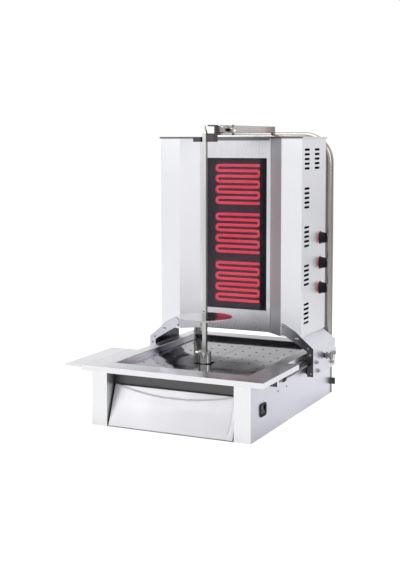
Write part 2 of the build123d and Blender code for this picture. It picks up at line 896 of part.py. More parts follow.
# Lid with a lip that follows the niche
with BuildPart() as tower_lid:
    lip_front = tower_front - lid_overhang
    lip_niche = niche_y - lid_overhang
    lid_half = tower_half + lid_overhang
    with BuildSketch(Plane.XY.offset(tower_top - lid_lip + sheet)) as lid_outline:
        with BuildLine():
            Polyline(
                (-lid_half, tower_back_y + lid_overhang),
                (-lid_half, lip_front),
                (-cheek_inner, lip_front),
                (-niche_half, lip_niche),
                (niche_half, lip_niche),
                (cheek_inner, lip_front),
                (lid_half, lip_front),
                (lid_half, tower_back_y + lid_overhang),
                close=True,
            )
        make_face()
    extrude(amount=lid_lip)
    with BuildSketch(Plane.XY.offset(tower_top - lid_lip)):
        add(lid_outline.sketch.faces())
        offset(amount=-sheet, mode=Mode.REPLACE, kind=Kind.INTERSECTION)
    extrude(amount=lid_lip, mode=Mode.SUBTRACT)
    hem_top = tower_top - lid_lip + sheet
    with BuildSketch(along_y(lip_niche)):
        with BuildLine():
            Polyline(
                (-niche_half + 2.0, hem_top),
                (niche_half - 2.0, hem_top),
                (niche_half - 2.0 - lid_hem, hem_top - lid_hem),
                (lid_hem + 2.0 - niche_half, hem_top - lid_hem),
                close=True,
            )
        make_face()
    extrude(amount=-sheet)
save(tower_lid.part, "tower_lid")

# Glass, terminal strip, heater pan, board and elements
glass_y = niche_y + window_reveal
glass_back = glass_y + glass_thickness
glass_half = window_half + glass_margin
glass_height = window_height + 2 * glass_margin
with BuildPart() as ceramic_glass:
    with BuildSketch(along_y(glass_y)):
        with Locations((0, window_middle)):
            RectangleRounded(2 * glass_half, glass_height, 4.0)
    extrude(amount=-glass_thickness)
save(ceramic_glass.part, "ceramic_glass")

with BuildPart() as heater_pan:
    with BuildSketch(along_y(glass_back)):
        with Locations((0, window_middle)):
            Rectangle(2 * glass_half, glass_height)
    extrude(amount=-pan_depth)
    with BuildSketch(along_y(glass_back)):
        with Locations((0, window_middle)):
            Rectangle(2 * (glass_half - liner_sheet), glass_height - 2 * liner_sheet)
    extrude(amount=-(pan_depth - liner_sheet), mode=Mode.SUBTRACT)
save(heater_pan.part, "heater_pan")

element_y = glass_back + element_gap + element_bar / 2
board_front = element_y + element_bar / 2 + free_gap
board_back = glass_back + pan_depth - liner_sheet
with BuildPart() as insulation_board:
    with BuildSketch(along_y(board_front)):
        with Locations((0, window_middle)):
            Rectangle(2 * (glass_half - liner_sheet - free_gap), glass_height - 4 * liner_sheet)
    extrude(amount=-(board_back - board_front))
save(insulation_board.part, "insulation_board")

with BuildPart() as terminal_strip:
    with BuildSketch(along_y(glass_back)):
        with Locations((window_half - terminal_width / 2, window_middle)):
            Rectangle(terminal_width, window_height - 4.0)
    extrude(amount=-(element_gap - 2 * free_gap))
save(terminal_strip.part, "terminal_strip")


def heating_element(middle_z):
    """One zone: a bar bent to and fro in rows, both leads ending under the strip."""
    top_z = middle_z + (element_rows - 1) * row_pitch / 2
    corner = row_pitch * 0.3
    turns = [(element_half + element_lead - 2.0, top_z)]
    for row in range(element_rows - 1):
        z = top_z - row * row_pitch
        side = -1 if row % 2 == 0 else 1
        bend_x = side * (element_half - element_bar / 2)
        turns += [(bend_x - side * corner, z), (bend_x, z - corner)]
        turns += [(bend_x, z - row_pitch + corner), (bend_x - side * corner, z - row_pitch)]
    turns.append((element_half + element_lead - 2.0, top_z - (element_rows - 1) * row_pitch))
    with BuildPart() as element:
        with BuildLine() as route:
            Polyline(*[(x, element_y, z) for x, z in turns])
        start = Plane(
            origin=(element_half + element_lead - 2.0, element_y, top_z),
            x_dir=(0, 1, 0),
            z_dir=(-1, 0, 0),
        )
        with BuildSketch(start):
            Rectangle(element_bar, element_bar)
        sweep(path=route.wires()[0], transition=Transition.RIGHT)
    return element.part


for zone in range(zone_count):
    zone_z = window_middle + ((zone_count - 1) / 2 - zone) * zone_pitch
    save(heating_element(zone_z), f"heater_zone_{zone + 1}")


def bracket(side):
    """Carriage bracket: folded side sheet and the front plate bolted to the cheek."""
    hook_x = tower_half - sheet
    hook_z = tower_bottom - sheet + 0.4
    outer_face = [
        (hook_x, tower_bottom + bracket_tab),
        (hook_x, hook_z),
        (bracket_x, bracket_shoulder),
        (bracket_x, bracket_bottom),
    ]
    plate = [
        (cheek_inner + 3.0, tower_bottom + plate_rise),
        (cheek_inner + 3.0, tower_bottom + 5.0),
        (cheek_inner + 10.0, tower_bottom + 5.0),
        (cheek_inner + plate_knee, tower_bottom - 12.0),
        (bracket_x - bracket_leg - 2.0, bracket_shoulder - 8.0),
        (bracket_x - bracket_leg, bracket_shoulder - 13.0),
        (bracket_x - bracket_leg, bracket_bottom),
        (bracket_x, bracket_bottom),
        (bracket_x, bracket_shoulder),
        (tower_half, tower_bottom + 3.0),
        (cheek_inner + plate_hip, tower_bottom + plate_hip_rise),
        (cheek_inner + 10.0, tower_bottom + plate_rise),
    ]
    with BuildPart() as piece:
        with BuildSketch(along_y(tower_front)):
            with BuildLine():
                Polyline(*mirrored(folded_sheet(outer_face, -sheet), side), close=True)
            make_face()
        extrude(amount=-bracket_length)
        with BuildSketch(along_y(tower_front)):
            with Locations((side * hook_x, tower_bottom + bracket_tab / 2)):
                Rectangle(4 * sheet, bracket_tab + free_gap)
        extrude(amount=-sheet, mode=Mode.SUBTRACT)
        with BuildSketch(along_y(tower_front)):
            with BuildLine():
                Polyline(*mirrored(plate, side), close=True)
            make_face()
            with Locations((side * rod_x, rod_z)):
                Circle(rod_radius + 1.5, mode=Mode.SUBTRACT)
            with Locations((side * (tower_half - 12.0), tower_bottom - 3.0)):
                SlotOverall(12.0, 3.0, mode=Mode.SUBTRACT)
        extrude(amount=plate_thickness)
        if side > 0:
            with BuildSketch(along_x(bracket_x, clamp_y, clamp_z)):
                Circle(boss_radius)
            extrude(amount=boss_length)
            with BuildSketch(along_x(bracket_x - 2 * sheet, clamp_y, clamp_z)):
                Circle(clamp_shaft_radius + running_gap)
            extrude(amount=boss_length + 3 * sheet, mode=Mode.SUBTRACT)
    return piece.part


save(bracket(1), "bracket_right")
save(bracket(-1), "bracket_left")

with BuildPart() as slide_blocks:
    block_inner = side_x + block_gap
    block_outer = bracket_x - sheet
    for side in (1, -1):
        for middle_y in (block_front_y, block_back_y):
            with BuildSketch(along_y(middle_y - block_length / 2)):
                with Locations((side * (block_inner + block_outer) / 2, (block_bottom + block_top) / 2)):
                    Rectangle(block_outer - block_inner, block_top - block_bottom)
                with Locations((side * rod_x, rod_z)):
                    Circle(rod_radius + running_gap, mode=Mode.SUBTRACT)
            extrude(amount=-block_length)
save(slide_blocks.part, "slide_blocks")

with BuildPart() as dome_nuts:
    for side in (1, -1):
        for nut_y, nut_z in (
            (block_front_y - 7.0, nut_z_high),
            (block_front_y + 7.0, nut_z_low),
            (block_back_y + 10.0, nut_z_high),
            (block_back_y - 10.0, nut_z_low + 4.0),
        ):
            face = along_x(bracket_x, nut_y, nut_z)
            if side < 0:
                face = facing_left(-bracket_x, nut_y, nut_z)
            with BuildSketch(face):
                RegularPolygon(nut_radius, 6)
            extrude(amount=5.0)
            with BuildSketch(face.offset(5.0)):
                RegularPolygon(nut_radius - 1.0, 12)
            extrude(amount=4.0, taper=25)
save(dome_nuts.part, "dome_nuts")

# Knurled clamp knob, its screw reaching to the frame's edge
with BuildPart() as clamp_knob:
    knob_start = bracket_x + boss_length + free_gap
    with BuildSketch(along_x(side_x + free_gap, clamp_y, clamp_z)):
        Circle(clamp_shaft_radius)
    extrude(amount=knob_start + 2.0 - side_x - free_gap)
    for start, length, radius in (
        (0.0, 3.0, clamp_knob_radius - 1.0),
        (3.0, clamp_knob_length - 9.0, clamp_knob_radius - 6.0),
        (clamp_knob_length - 6.0, 6.0, clamp_knob_radius),
    ):
        with BuildSketch(along_x(knob_start + start, clamp_y, clamp_z)):
            RegularPolygon(radius, 20)
        extrude(amount=length)
save(clamp_knob.part, "clamp_knob")

# Heat knobs with their rings and regulators
for step in (-1, 0, 1):
    middle_z = knob_z - step * knob_pitch
    grip_start = tower_half + ring_thickness + free_gap
    with BuildPart() as heat_knob:
        with BuildSketch(along_x(grip_start, knob_y, middle_z)):
            RegularPolygon(knob_radius, 24)
        extrude(amount=5.0)
        with BuildSketch(along_x(grip_start + 5.0, knob_y, middle_z)):
            RegularPolygon(knob_radius - 1.5, 24)
        extrude(amount=knob_length - 5.0, taper=4)
        with BuildSketch(along_x(grip_start + knob_length, knob_y, middle_z)):
            Rectangle(5.0, 1.9 * knob_radius)
        extrude(amount=-(knob_length - 7.0))
        with BuildSketch(facing_left(grip_start, knob_y, middle_z)):
            Circle(knob_shaft_radius)
        extrude(amount=regulator_depth / 2)
    save(heat_knob.part, f"heat_knob_{step + 2}")

with BuildPart() as knob_rings:
    with BuildSketch(along_x(tower_half)):
        with Locations([(knob_y, knob_z + step * knob_pitch) for step in (-1, 0, 1)]):
            RegularPolygon(ring_radius, 24)
            RegularPolygon(knob_shaft_radius + 1.0, 12, mode=Mode.SUBTRACT)
    extrude(amount=ring_thickness)
save(knob_rings.part, "knob_rings")

with BuildPart() as regulators:
    with BuildSketch(facing_left(tower_half - sheet)):
        with Locations([(-knob_y, knob_z + step * knob_pitch) for step in (-1, 0, 1)]):
            Rectangle(regulator_size, regulator_size)
            Circle(knob_shaft_radius + running_gap, mode=Mode.SUBTRACT)
    extrude(amount=regulator_depth)
save(regulators.part, "regulators")

# Rear tube that holds the arm, and its saddles on the base's back
with BuildPart() as support_tube:
    with BuildLine() as tube_route:
        FilletPolyline(
            (-tube_x, tube_y, 0),
            (-tube_x, tube_y, tube_top_z),
            (tube_x, tube_y, tube_top_z),
            (tube_x, tube_y, 0),
            radius=tube_bend,
        )
    with BuildSketch(Plane(origin=(-tube_x, tube_y, 0), x_dir=(1, 0, 0), z_dir=(0, 0, 1))):
        Circle(tube_radius)
    sweep(path=tube_route.wires()[0])
save(support_tube.part, "support_tube")

with BuildPart() as tube_saddles:
    for side in (1, -1):
        for saddle_z in (saddle_low_z, saddle_high_z):
            with BuildSketch(Plane.XY.offset(saddle_z - saddle_height / 2)):
                with Locations((side * tube_x, tube_y)):
                    Circle(tube_radius + saddle_wall)
                with Locations((side * tube_x, back_y + saddle_wall / 2)):
                    Rectangle(2 * (tube_radius + 16.0), saddle_wall)
                with Locations((side * tube_x, back_y - tube_radius)):
                    Rectangle(4 * tube_radius, 2 * tube_radius, mode=Mode.SUBTRACT)
                with Locations((side * tube_x, tube_y)):
                    Circle(tube_radius, mode=Mode.SUBTRACT)
            extrude(amount=saddle_height)
save(tube_saddles.part, "tube_saddles")

# Arm: flat bar on edge, seated on the tube and slotted for the fork's screws
slot_front = fork_bolt_y - screw_slack
slot_back = wing_screw_y + fork_travel + screw_slack
with BuildPart() as top_arm:
    with BuildSketch(along_x(arm_x)):
        with Locations(((arm_front + arm_back) / 2, arm_z + arm_height / 2)):
            Rectangle(arm_back - arm_front, arm_height)
        with Locations(((slot_front + slot_back) / 2, screw_line_z)):
            SlotOverall(slot_back - slot_front, 2 * fork_screw_radius + 1.0, mode=Mode.SUBTRACT)
        with Locations((tube_y, tube_top_z)):
            Circle(tube_radius, mode=Mode.SUBTRACT)
    extrude(amount=arm_thickness)
    fillet(top_arm.edges().filter_by(Axis.X).group_by(Axis.Y)[0], 3.0)
save(top_arm.part, "top_arm")

# Fork: channel with a strap behind it, and the notched block that holds the spit upright
web_outer = arm_x - free_gap
web_inner = web_outer - fork_web
with BuildPart() as fork_bracket:
    with BuildSketch(along_y(fork_front)):
        with BuildLine():
            Polyline(
                (fork_flange_end, fork_low_z),
                (web_outer, fork_low_z),
                (web_outer, fork_high_z),
                (fork_flange_end, fork_high_z),
                (fork_flange_end, fork_high_z - fork_flange),
                (web_inner, fork_high_z - fork_flange),
                (web_inner, fork_low_z + fork_flange),
                (fork_flange_end, fork_low_z + fork_flange),
                close=True,
            )
        make_face()
    extrude(amount=-(fork_back - fork_front))
    with BuildSketch(along_x(web_inner)):
        with Locations(((fork_back + strap_back) / 2, screw_line_z)):
            Rectangle(strap_back - fork_back, strap_height)
    extrude(amount=fork_web)
    with BuildSketch(along_x(web_inner - 1.0)):
        with Locations((fork_bolt_y, screw_line_z)):
            Circle(fork_screw_radius)
        with Locations((wing_screw_y, screw_line_z)):
            Circle(fork_screw_radius + running_gap)
    extrude(amount=fork_web + 2.0, mode=Mode.SUBTRACT)
save(fork_bracket.part, "fork_bracket")

notch_half = hypot(rod_size / 2, rod_size / 2 - rod_chamfer) + fork_notch_gap
with BuildPart() as fork_block:
    with BuildSketch(Plane.XY.offset(fork_low_z - fork_block_height)):
        with Locations((0, spit_y + (fork_block_back - fork_block_front) / 2)):
            Rectangle(2 * fork_block_half, fork_block_front + fork_block_back)
        with Locations((0, spit_y - (fork_block_front - notch_half) / 2)):
            Rectangle(2 * notch_half, fork_block_front + notch_half, mode=Mode.SUBTRACT)
    extrude(amount=fork_block_height)
    with BuildSketch(Plane.XY.offset(fork_low_z - fork_step)):
        with Locations((-fork_block_half, spit_y)):
            Rectangle(2 * (fork_block_half - notch_half), 4 * fork_block_back)
    extrude(amount=fork_step, mode=Mode.SUBTRACT)
save(fork_block.part, "fork_block")

head_start = arm_x + arm_thickness + free_gap
with BuildPart() as fork_bolts:
    with BuildSketch(along_x(head_start, fork_bolt_y, screw_line_z)):
        RegularPolygon(11.0, 16)
    extrude(amount=7.0, taper=12)
    with BuildSketch(along_x(web_inner, fork_bolt_y, screw_line_z)):
        Circle(fork_screw_radius)
    extrude(amount=head_start - web_inner)
    for nut_y, hole in (
        (fork_bolt_y, 0.0),
        (wing_screw_y, fork_screw_radius + running_gap),
    ):
        with BuildSketch(facing_left(web_inner, nut_y, screw_line_z)):
            RegularPolygon(8.0, 6)
            if hole:
                Circle(hole, mode=Mode.SUBTRACT)
        extrude(amount=6.0)
save(fork_bolts.part, "fork_bolts")

stud_start = web_inner - 8.0
with BuildPart() as wing_stud:
    with BuildSketch(along_x(stud_start, wing_screw_y, screw_line_z)):
        Circle(fork_screw_radius)
    extrude(amount=head_start - stud_start)
save(wing_stud.part, "wing_stud")

with BuildPart() as wing_screw:
    with BuildSketch(along_x(head_start, wing_screw_y, screw_line_z)):
        RegularPolygon(7.0, 12)
    extrude(amount=8.0)
    with BuildSketch(Plane(origin=(0, wing_screw_y, 0), x_dir=(1, 0, 0), z_dir=(0, -1, 0))):
        for wing in (1, -1):
            with BuildLine():
                Polyline(
                    (head_start + 1.0, screw_line_z + wing * 4.0),
                    (head_start + 7.0, screw_line_z + wing * 4.0),
                    (head_start + 14.0, screw_line_z + wing * 13.0),
                    (head_start + 8.0, screw_line_z + wing * 16.0),
                    close=True,
                )
            make_face()
    extrude(amount=1.5, both=True)
save(wing_screw.part, "wing_screw")

# Rocker switch: bezel with its body behind the sheet, and the rocker
pivot_x = side_x - 5.0
with BuildPart() as switch_bezel:
    with BuildSketch(along_x(side_x, switch_y, switch_z)):
        RectangleRounded(bezel_length, bezel_height, 9.0)
    extrude(amount=bezel_proud)
    with BuildSketch(facing_left(side_x, switch_y, switch_z)):
        Rectangle(rocker_length + 6.0 - 0.6, 2 * rocker_half + 8.0 - 0.6)
    extrude(amount=switch_depth)
    with BuildSketch(along_x(side_x + bezel_proud, switch_y, switch_z)):
        Rectangle(rocker_length + 2 * free_gap, 2 * rocker_half + 4.5)
    extrude(amount=-20.0, mode=Mode.SUBTRACT)
save(switch_bezel.part, "switch_bezel")

with BuildPart() as switch_rocker:
    swing = radians(rocker_swing)
    shape = [(-9.0, -6.0), (6.0, -rocker_half), (4.5, 0.0), (6.0, rocker_half), (-9.0, 6.0)]
    turned = [
        (
            pivot_x + x * cos(swing) - z * sin(swing),
            switch_z + x * sin(swing) + z * cos(swing),
        )
        for x, z in shape
    ]
    with BuildSketch(along_y(switch_y - rocker_length / 2)):
        with BuildLine():
            Polyline(*turned, close=True)
        make_face()
    extrude(amount=-rocker_length)
save(switch_rocker.part, "switch_rocker")

with BuildPart() as cable_gland:
    gland_face = Plane(origin=(gland_x, back_y, gland_z), x_dir=(-1, 0, 0), z_dir=(0, 1, 0))
    with BuildSketch(gland_face):
        RegularPolygon(gland_radius + 5.0, 6)
    extrude(amount=7.0)
    with BuildSketch(gland_face.offset(7.0)):
        RegularPolygon(gland_radius + 1.0, 16)
    extrude(amount=12.0, taper=12)
    with BuildSketch(gland_face.offset(-14.0)):
        RegularPolygon(gland_radius - 0.3, 16)
    extrude(amount=14.0)
    with BuildSketch(gland_face.offset(-14.0)):
        RegularPolygon(5.0, 12)
    extrude(amount=40.0, mode=Mode.SUBTRACT)
save(cable_gland.part, "cable_gland")
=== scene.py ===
# %% [markdown]
# A vertical kebab grill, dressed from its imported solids. The solids bring every shape that
# has a size: sheets, rods, knobs, the spit. This lesson gives them their finishes and adds
# what is easier to grow than to draw, such as heater coils, screw heads and knurled knobs.

# %% Load the solids
import json
from math import cos, pi, radians, sin, tau

import bmesh
import bpy
from mathutils import Matrix, Vector


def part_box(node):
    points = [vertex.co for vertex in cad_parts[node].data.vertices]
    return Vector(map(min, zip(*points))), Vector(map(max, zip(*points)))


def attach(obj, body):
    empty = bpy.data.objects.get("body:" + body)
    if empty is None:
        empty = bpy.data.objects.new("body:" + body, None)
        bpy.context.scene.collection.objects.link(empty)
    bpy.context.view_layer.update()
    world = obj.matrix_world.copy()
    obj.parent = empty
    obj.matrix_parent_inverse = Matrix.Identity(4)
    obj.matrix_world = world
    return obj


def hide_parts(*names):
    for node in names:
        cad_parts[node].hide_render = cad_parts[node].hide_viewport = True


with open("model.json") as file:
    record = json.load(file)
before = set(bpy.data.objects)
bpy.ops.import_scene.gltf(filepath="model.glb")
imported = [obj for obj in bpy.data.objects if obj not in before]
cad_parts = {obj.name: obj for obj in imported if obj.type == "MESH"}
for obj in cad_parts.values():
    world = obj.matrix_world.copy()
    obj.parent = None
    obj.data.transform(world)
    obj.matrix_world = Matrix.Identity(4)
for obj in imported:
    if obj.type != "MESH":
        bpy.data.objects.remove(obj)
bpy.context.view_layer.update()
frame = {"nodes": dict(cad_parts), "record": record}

nodes = frame["nodes"]
print(len(nodes), "solids loaded")

# %% [markdown]
# Materials, growing trees and the world are all graphs of nodes. Adding a node, linking two
# and doing a sum are the same moves in each, so one small class holds them and the later
# cells stay readable.

# %% A bench for graphs
class Graph:
    """A node tree and the moves that build it."""

    def __init__(self, tree):
        self.tree = tree

    def add(self, kind, settings=(), **values):
        node = self.tree.nodes.new(kind)
        for key, value in dict(settings).items():
            setattr(node, key, value)
        for key, value in values.items():
            node.inputs[key.replace("_", " ")].default_value = value
        return node

    def join(self, start, end):
        self.tree.links.new(start, end)

    def ranged(self, value, low, high, start=0.3, end=0.7, curve="LINEAR"):
        """Turns start to end of a value into low to high, and holds it there beyond."""
        node = self.add(
            "ShaderNodeMapRange", [("clamp", True), ("interpolation_type", curve)],
            From_Min=start, From_Max=end, To_Min=low, To_Max=high,
        )
        self.join(value, node.inputs["Value"])
        return node.outputs["Result"]

    def maths(self, operation, first, second):
        """A sum of two values, each a number or another node's output."""
        node = self.add("ShaderNodeMath", [("operation", operation)])
        for place, value in enumerate((first, second)):
            if isinstance(value, (int, float)):
                node.inputs[place].default_value = value
            else:
                self.join(value, node.inputs[place])
        return node.outputs["Value"]


print("graph bench ready")

# %% [markdown]
# Every finish reads Object coordinates, so a pattern is measured in metres and stays put on
# its piece. This kind of graph starts a material and adds the moves that finishes share.
# The photograph's steel also shows soft shadows and reflections that this plain room doesn't
# give. shade paints them into the base colour along the piece's own axes, as a shortcut. It
# was set for the photograph's view, so from other sides the steel looks unevenly toned.

# %% A bench for making materials
class Finish(Graph):
    """One material and the few moves that all the recipes below are made of."""

    def __init__(self, name):
        self.material = bpy.data.materials.new(name)
        self.material.use_nodes = True
        super().__init__(self.material.node_tree)
        self.shader = self.tree.nodes["Principled BSDF"]

    def place(self, stretch=(1, 1, 1), turn=(0, 0, 0)):
        """Object coordinates, squeezed by stretch along each axis."""
        where = self.add("ShaderNodeTexCoord")
        mapping = self.add("ShaderNodeMapping", Scale=stretch, Rotation=turn)
        self.join(where.outputs["Object"], mapping.inputs["Vector"])
        return mapping.outputs["Vector"]

    def noise(self, vector, scale, detail=2.0, roughness=0.5):
        node = self.add("ShaderNodeTexNoise", Scale=scale, Detail=detail, Roughness=roughness)
        self.join(vector, node.inputs["Vector"])
        return node.outputs["Fac"]

    def blend(self, factor, first, second):
        """A colour between two, each a plain colour or another node's output."""
        node = self.add("ShaderNodeMix", [("data_type", "RGBA")])
        self.join(factor, node.inputs["Factor"])
        for key, value in (("A", first), ("B", second)):
            place = [s for s in node.inputs if s.name == key and s.type == "RGBA"][0]
            if isinstance(value, tuple):
                place.default_value = (*value, 1)
            else:
                self.join(value, place)
        return [s for s in node.outputs if s.type == "RGBA"][0]

    def bump(self, height, strength, distance, soften=0.0):
        """Bends the surface's normal; soften rounds sharp edges by that many metres."""
        node = self.add("ShaderNodeBump", Strength=strength, Distance=distance)
        self.join(height, node.inputs["Height"])
        if soften:
            rounded = self.add("ShaderNodeBevel", [("samples", 4)], Radius=soften)
            self.join(rounded.outputs["Normal"], node.inputs["Normal"])
        self.join(node.outputs["Normal"], self.shader.inputs["Normal"])

    def shade(self, colour, fades=(), faces=()):
        """Darkens a colour along an axis (fades) or on faces that look along one (faces).

        A fade is (axis, start, end, level at start, level at end). A face is (axis, sign,
        level), where level is a number or a fade.
        """
        where = self.add("ShaderNodeTexCoord")
        axes = self.add("ShaderNodeSeparateXYZ")
        self.join(where.outputs["Object"], axes.inputs["Vector"])
        looks = self.add("ShaderNodeSeparateXYZ")
        self.join(where.outputs["Normal"], looks.inputs["Vector"])

        def fade(axis, start, end, low, high):
            return self.ranged(axes.outputs[axis], low, high, start, end)

        levels = [fade(*values) for values in fades]
        for axis, sign, level in faces:
            along = self.maths("MULTIPLY", looks.outputs[axis], sign)
            toward = self.ranged(along, 0, 1, 0.30, 0.45)
            drop = self.maths("SUBTRACT", 1.0, fade(*level) if isinstance(level, tuple) else level)
            levels.append(self.maths("SUBTRACT", 1.0, self.maths("MULTIPLY", toward, drop)))
        for level in levels:
            colour = self.blend(level, (0, 0, 0), colour)
        return colour

    def set(self, **values):
        for key, value in values.items():
            self.shader.inputs[key.replace("_", " ")].default_value = value

    def feed(self, **outputs):
        for key, output in outputs.items():
            self.join(output, self.shader.inputs[key.replace("_", " ")])


finishes = {}
print("bench ready")

# %% [markdown]
# Stainless sheet is brushed at the mill: countless fine scratches run one way, so highlights
# smear across them. Noise that is stretched over a hundred times along one axis gives those
# scratches. A second, soft noise stands for wiping marks.

# %% Brushed stainless
fine, coarse = 900.0, 60.0  # waves in a metre across the grain
fine_along, coarse_along = 6.0, 1.5  # and along it


def brushed(
    name, colour, grain, rough=0.3, shine=0.35, dirt=0.03, streak=0.02, fades=(), faces=()
):
    """grain is the axis along which the sheet was brushed."""
    f = Finish(name)
    axis = "XYZ".index(grain)
    stretch, broad = [fine] * 3, [coarse] * 3
    stretch[axis], broad[axis] = fine_along, coarse_along
    scratch = f.noise(f.place(tuple(stretch)), 1.0, 3.0, 0.6)
    bands = f.noise(f.place(tuple(broad)), 1.0, 2.0)
    wiped = f.noise(f.place(), 7.0, 4.0, 0.6)
    darker = tuple(c * (1 - 1.6 * streak) for c in colour)
    tone = f.blend(f.ranged(scratch, 0, 1), darker, colour)
    cloud = tuple(c * (1 - dirt) for c in colour)
    mixed = f.blend(f.ranged(f.maths("ADD", wiped, bands), 0, 0.5, 0.7, 1.3), tone, cloud)
    rough_scratch = f.ranged(scratch, rough - 0.05, rough + 0.05)
    rough_wiped = f.ranged(wiped, -0.04, 0.06)
    # fades and faces paint shade and reflections into the base colour.
    f.feed(Base_Color=f.shade(mixed, fades, faces))
    f.feed(Roughness=f.maths("ADD", rough_scratch, rough_wiped))
    f.set(Metallic=1.0, Anisotropic=shine)
    f.bump(scratch, 0.07, 0.00010, 0.0006)
    finishes[name] = f.material


print("brushed recipe ready")

# %% [markdown]
# Sheets of one grill differ a little in tone and in the way they were brushed, so each group
# of sheets has its own finish. The fades and faces of painted shade and painted reflection are
# listed first, in metres and levels.

# %% Brushed finishes
front_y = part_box("front_frame")[0][1]
panel_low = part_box("centre_panel")[0][2]
# Painted shadow: the front frame darkens towards the back of its recess.
recess_painted_shadow = ("Y", front_y + 0.006, front_y + 0.042, 1.0, 0.13)
low_shadow = ("Z", panel_low, panel_low + 0.085, 0.38, 1.0)
# Painted reflection: the rim's top faces darken from left to right.
rim_top_painted_reflection = ("Z", 1, ("X", -0.24, -0.02, 0.92, 0.42))
# Painted shade: faces of the tower's right half that look left are darker.
right_cheek_painted_shade = ("X", -1, ("X", 0.0, 0.1, 1.0, 0.60))
# Painted reflection: the brackets' front-facing plates darken towards the right.
front_plate_painted_reflection = ("Y", -1, ("X", 0.13, 0.235, 0.75, 0.10))
# Painted shade: faces that look right are darker on the left half, inside the left bracket.
left_inner_painted_shade = ("X", 1, ("X", -0.1, 0.1, 0.14, 1.0))
# Painted shade: the spit darkens towards its foot and, sharply, at its tip.
spit_foot_painted_shade = ("Z", 0.15, 0.50, 0.50, 1.0)
spit_tip_painted_shade = ("Z", 0.812, 0.820, 1.0, 0.35)
brushed("front_steel", (0.90, 0.905, 0.92), "X", 0.36, fades=[recess_painted_shadow])
brushed("drawer_steel", (0.53, 0.53, 0.55), "X", 0.42, 0.2)
brushed("rim_steel", (0.86, 0.86, 0.89), "X", 0.20, faces=[rim_top_painted_reflection])
brushed("shelf_steel", (0.84, 0.84, 0.87), "X", 0.30)
# Painted shade: the base sides darken towards the front.
brushed("side_steel", (0.88, 0.885, 0.96), "Y", 0.36, fades=[("Y", -0.30, 0.15, 0.81, 1.0)])
brushed("tower_steel", (0.89, 0.895, 0.93), "Z", 0.40, faces=[right_cheek_painted_shade])
brushed("panel_steel", (0.80, 0.80, 0.83), "Z", 0.28, fades=[low_shadow])
# Painted shade: the lid's front-facing faces are darkened to a quarter.
brushed("lid_steel", (0.80, 0.79, 0.80), "X", 0.30, faces=[("Y", -1, 0.24)])
brushed("bracket_steel", (0.80, 0.80, 0.87), "Y", 0.30, faces=[front_plate_painted_reflection, left_inner_painted_shade])
brushed("dull_steel", (0.60, 0.60, 0.62), "X", 0.42, 0.2, 0.10)
# Painted shade: front-facing faces of the back sheets are nearly black.
brushed("back_steel", (0.66, 0.66, 0.68), "Z", 0.40, 0.2, 0.08, faces=[("Y", -1, 0.08)])
# The heater pan's steel is set near black as painted shade.
brushed("pan_steel_in_painted_shade", (0.09, 0.09, 0.095), "Z", 0.45, 0.2, 0.10)
# The tub's steel is set darker than real stainless as painted shade inside the tub.
brushed("tub_steel", (0.40, 0.40, 0.44), "Y", 0.16, 0.2, 0.08)
# Painted shade: faces of the rod steel that look right are darker too.
brushed(
    "rod_steel", (0.84, 0.83, 0.80), "Z", 0.20, 0.3, 0.08,
    fades=[spit_foot_painted_shade, spit_tip_painted_shade], faces=[("X", 1, 0.45)],
)
print("brushed finishes:", sorted(finishes))

# %% [markdown]
# The trays, the disc and the coupling are polished until they mirror the room. A perfect
# mirror looks drawn, so faint hairlines break it up, and a slow ripple bends what it
# reflects, as thin sheet that is a little out of flat does.

# %% Polished steel
def polished(name, colour, rough=0.05, ripple=0.25, haze=0.06, fades=(), faces=()):
    f = Finish(name)
    hair = f.noise(f.place((500, 60, 500), (0, 0, 0.4)), 1.0, 3.0, 0.7)
    haze_noise = f.noise(f.place(), 12.0, 5.0, 0.65)
    slow = f.noise(f.place(), 5.0, 1.0)
    lines = f.ranged(hair, 0.0, 0.05, 0.55, 0.75)
    cloudy = f.ranged(haze_noise, rough, rough + haze)
    f.feed(Roughness=f.maths("ADD", lines, cloudy))
    dim = tuple(c * 0.90 for c in colour)
    mixed = f.blend(f.ranged(haze_noise, 0, 1), colour, dim)
    # fades and faces paint shade and reflections into the base colour.
    f.feed(Base_Color=f.shade(mixed, fades, faces))
    f.set(Metallic=1.0)
    f.bump(f.maths("ADD", slow, f.maths("MULTIPLY", hair, 0.004)), ripple, 0.01, 0.0005)
    finishes[name] = f.material


polished("mirror_steel", (0.50, 0.485, 0.47))
# Painted reflection: the trays are set darker than real polished steel and darken to the right.
polished("tray_steel", (0.33, 0.335, 0.37), 0.04, 0.45, fades=[("X", -0.12, 0.10, 0.85, 0.50)])
# The plating is set darker than real chrome: painted shade in what it reflects.
polished("chrome_plate", (0.34, 0.33, 0.33), 0.07, 0.0)
# The guide rods' chrome is set near black: painted shade under the rim's overhang.
polished("chrome_in_painted_shade", (0.13, 0.128, 0.13), 0.07, 0.0)
polished("turned_steel", (0.24, 0.235, 0.235), 0.12, 0.0)
polished("tube_steel", (0.36, 0.34, 0.33), 0.18, 0.08, 0.10)
print("polished finishes added")

# %% [markdown]
# The arm was welded to the tube, and heat leaves straw, brown and blue bands that fade away
# from the joint. The distance from the joint along the arm picks the colour from a ramp.

